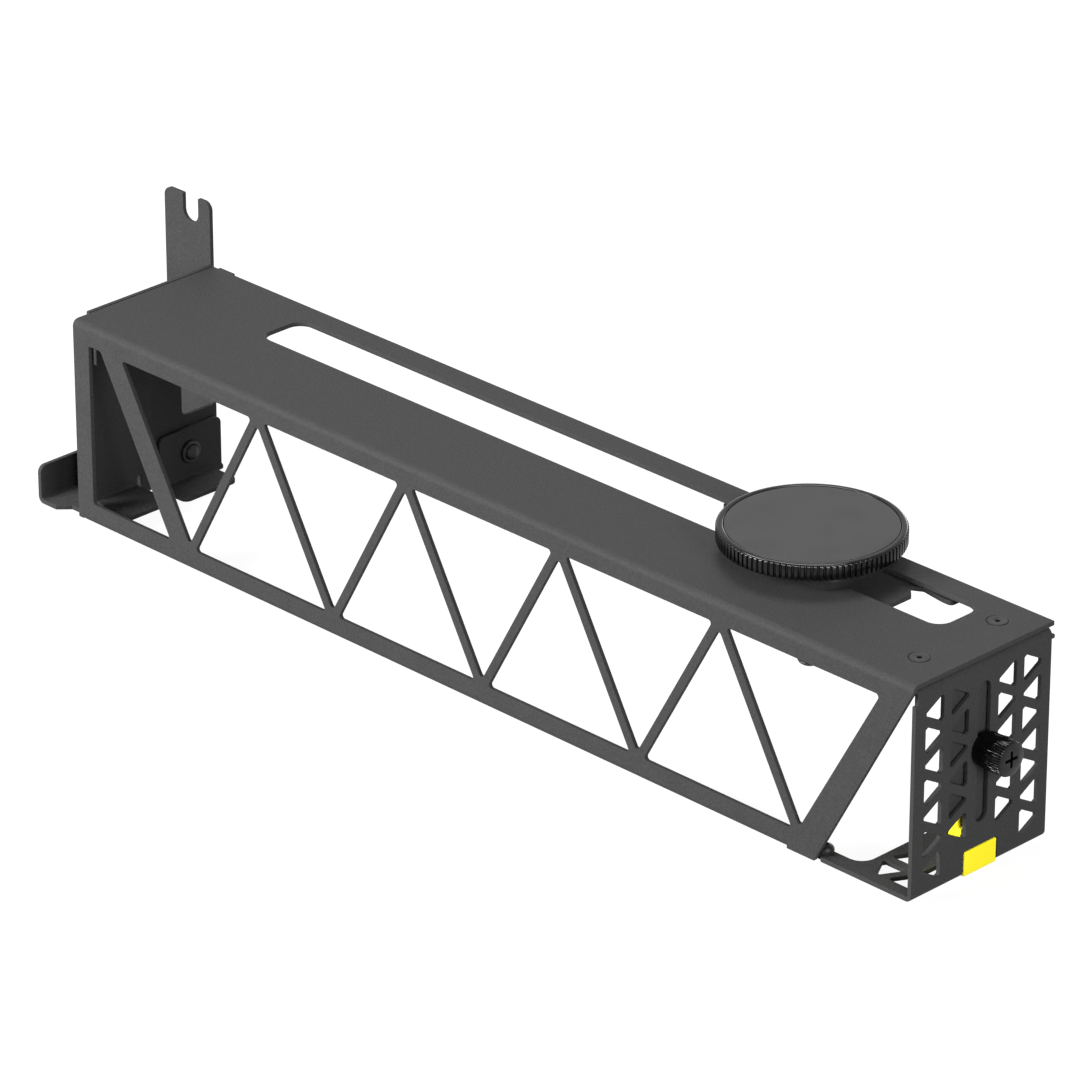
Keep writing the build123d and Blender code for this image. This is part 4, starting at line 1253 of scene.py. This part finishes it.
def seen_directly(tree: Tree) -> Socket:
    """1 for rays that see the background: from the camera, and in gloss and glass."""
    path = add_node(tree, "LightPath")
    share = path.outputs["Is Camera Ray"]
    for ray in ("Is Glossy Ray", "Is Transmission Ray"):
        links = {0: share, 1: path.outputs[ray]}
        share = add_node(tree, "Math", {"operation": "MAXIMUM"}, links).outputs[0]
    return share


def aim_at(piece: Piece, place: Vector, direction: Vector) -> None:
    """Puts a lamp or camera in its place and points it along a direction."""
    piece.location = place
    piece.rotation_mode = "QUATERNION"
    piece.rotation_quaternion = direction.to_track_quat("-Z", "Y")


@dataclass(frozen=True)
class Lamp:
    """A soft square lamp that faces the object, with its place and side in metres."""

    name: str
    place: Place
    side: float
    watts: float
    aim: Place = (0.0, 0.0, 0.03)

    def build(self) -> None:
        """Adds the lamp to the scene."""
        data = bpy.data.lights.new(self.name, "AREA")
        data.shape = "SQUARE"
        data.size = self.side
        data.energy = self.watts
        aim_at(placed(self.name, data), Vector(self.place), Vector(self.aim) - Vector(self.place))


@dataclass(frozen=True)
class Studio:
    """Pale floor, soft lamps and the camera at the photograph's angle."""

    target_mm: Place = (145.87, 24.0, 34.24)
    back: Place = (0.640, -0.633, 0.4355)
    distance_mm: float = 1596.94
    lens_mm: float = 217.4
    sensor_mm: float = 36.0
    clip_m: Point = (0.05, 50.0)
    floor_side_m: float = 12.0
    floor_drop_mm: float = 0.2
    floor_colour: str = "#626262"
    floor_glow: float = 0.93
    room_light: float = 0.025
    lamps: tuple[Lamp, ...] = (
        Lamp("key_lamp", (-0.5, -1.1, 0.5), 0.6, 42.0),
        Lamp("side_lamp", (1.15, -0.35, 0.45), 0.5, 15.5),
        Lamp("top_lamp", (-0.3, 0.3, 1.15), 0.5, 9.5),
        Lamp("back_lamp", (-0.3, 1.2, 0.12), 0.6, 4.0),
    )

    def camera(self) -> None:
        """Camera placed from the rail's front lower left corner."""
        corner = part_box("truss_frame")[0]
        target = corner + Vector(self.target_mm) * MM
        back = Vector(self.back).normalized()
        data = bpy.data.cameras.new("photo_camera")
        data.lens = self.lens_mm
        data.sensor_width = self.sensor_mm
        data.clip_start, data.clip_end = self.clip_m
        camera = placed("photo_camera", data)
        aim_at(camera, target + back * self.distance_mm * MM, -back)
        bpy.context.scene.camera = camera

    def floor(self) -> None:
        """Pale floor that shows white to the camera and keeps the object's shadow."""
        mesh = bpy.data.meshes.new("studio_floor")
        half = self.floor_side_m / 2
        corners = [(-half, -half, 0), (half, -half, 0), (half, half, 0), (-half, half, 0)]
        mesh.from_pydata(corners, [], [(0, 1, 2, 3)])
        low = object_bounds()[0]
        floor = placed("studio_floor", mesh)
        floor.location.z = low.z - self.floor_drop_mm * MM
        material = bpy.data.materials.new("pale_floor")
        tree = empty_tree(material)
        matt = add_node(tree, "BsdfDiffuse", {"Color": linear(self.floor_colour)}).outputs[0]
        glow = add_node(tree, "Emission", {"Color": WHITE, "Strength": self.floor_glow}).outputs[0]
        dark = add_node(tree, "Emission", {"Strength": 0.0}).outputs[0]
        links = {0: seen_directly(tree), 1: dark, 2: glow}
        shown = add_node(tree, "MixShader", None, links).outputs[0]
        both = add_node(tree, "AddShader", None, {0: matt, 1: shown}).outputs[0]
        add_node(tree, "OutputMaterial", None, {"Surface": both})
        mesh.materials.append(material)
        floor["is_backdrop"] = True

    def world(self) -> None:
        """Dim even room light, white where it is seen directly."""
        world = bpy.data.worlds.new("studio_room")
        bpy.context.scene.world = world
        tree = empty_tree(world)
        ends = {"To Min": self.room_light, "To Max": 1.0}
        share = add_node(tree, "MapRange", ends, {"Value": seen_directly(tree)}).outputs["Result"]
        room = add_node(tree, "Background", {"Color": WHITE}, {"Strength": share})
        add_node(tree, "OutputWorld", None, {"Surface": room.outputs[0]})

    def build(self) -> None:
        """Makes the camera, lamps, floor and room light."""
        self.camera()
        for lamp in self.lamps:
            lamp.build()
        self.floor()
        self.world()
        bpy.context.scene.view_settings.view_transform = "Standard"


def main() -> None:
    """Builds the bracket's looks."""
    logging.basicConfig(level=logging.INFO, format="%(name)s: %(message)s")
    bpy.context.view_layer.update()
    finishes = Finishes()
    for group in (FoldedSheets(), FrameFasteners(), DropLeg(), Carriage(), LiftingWheel()):
        group.build(finishes)
    Studio().build()


if __name__ == "__main__":
    main()
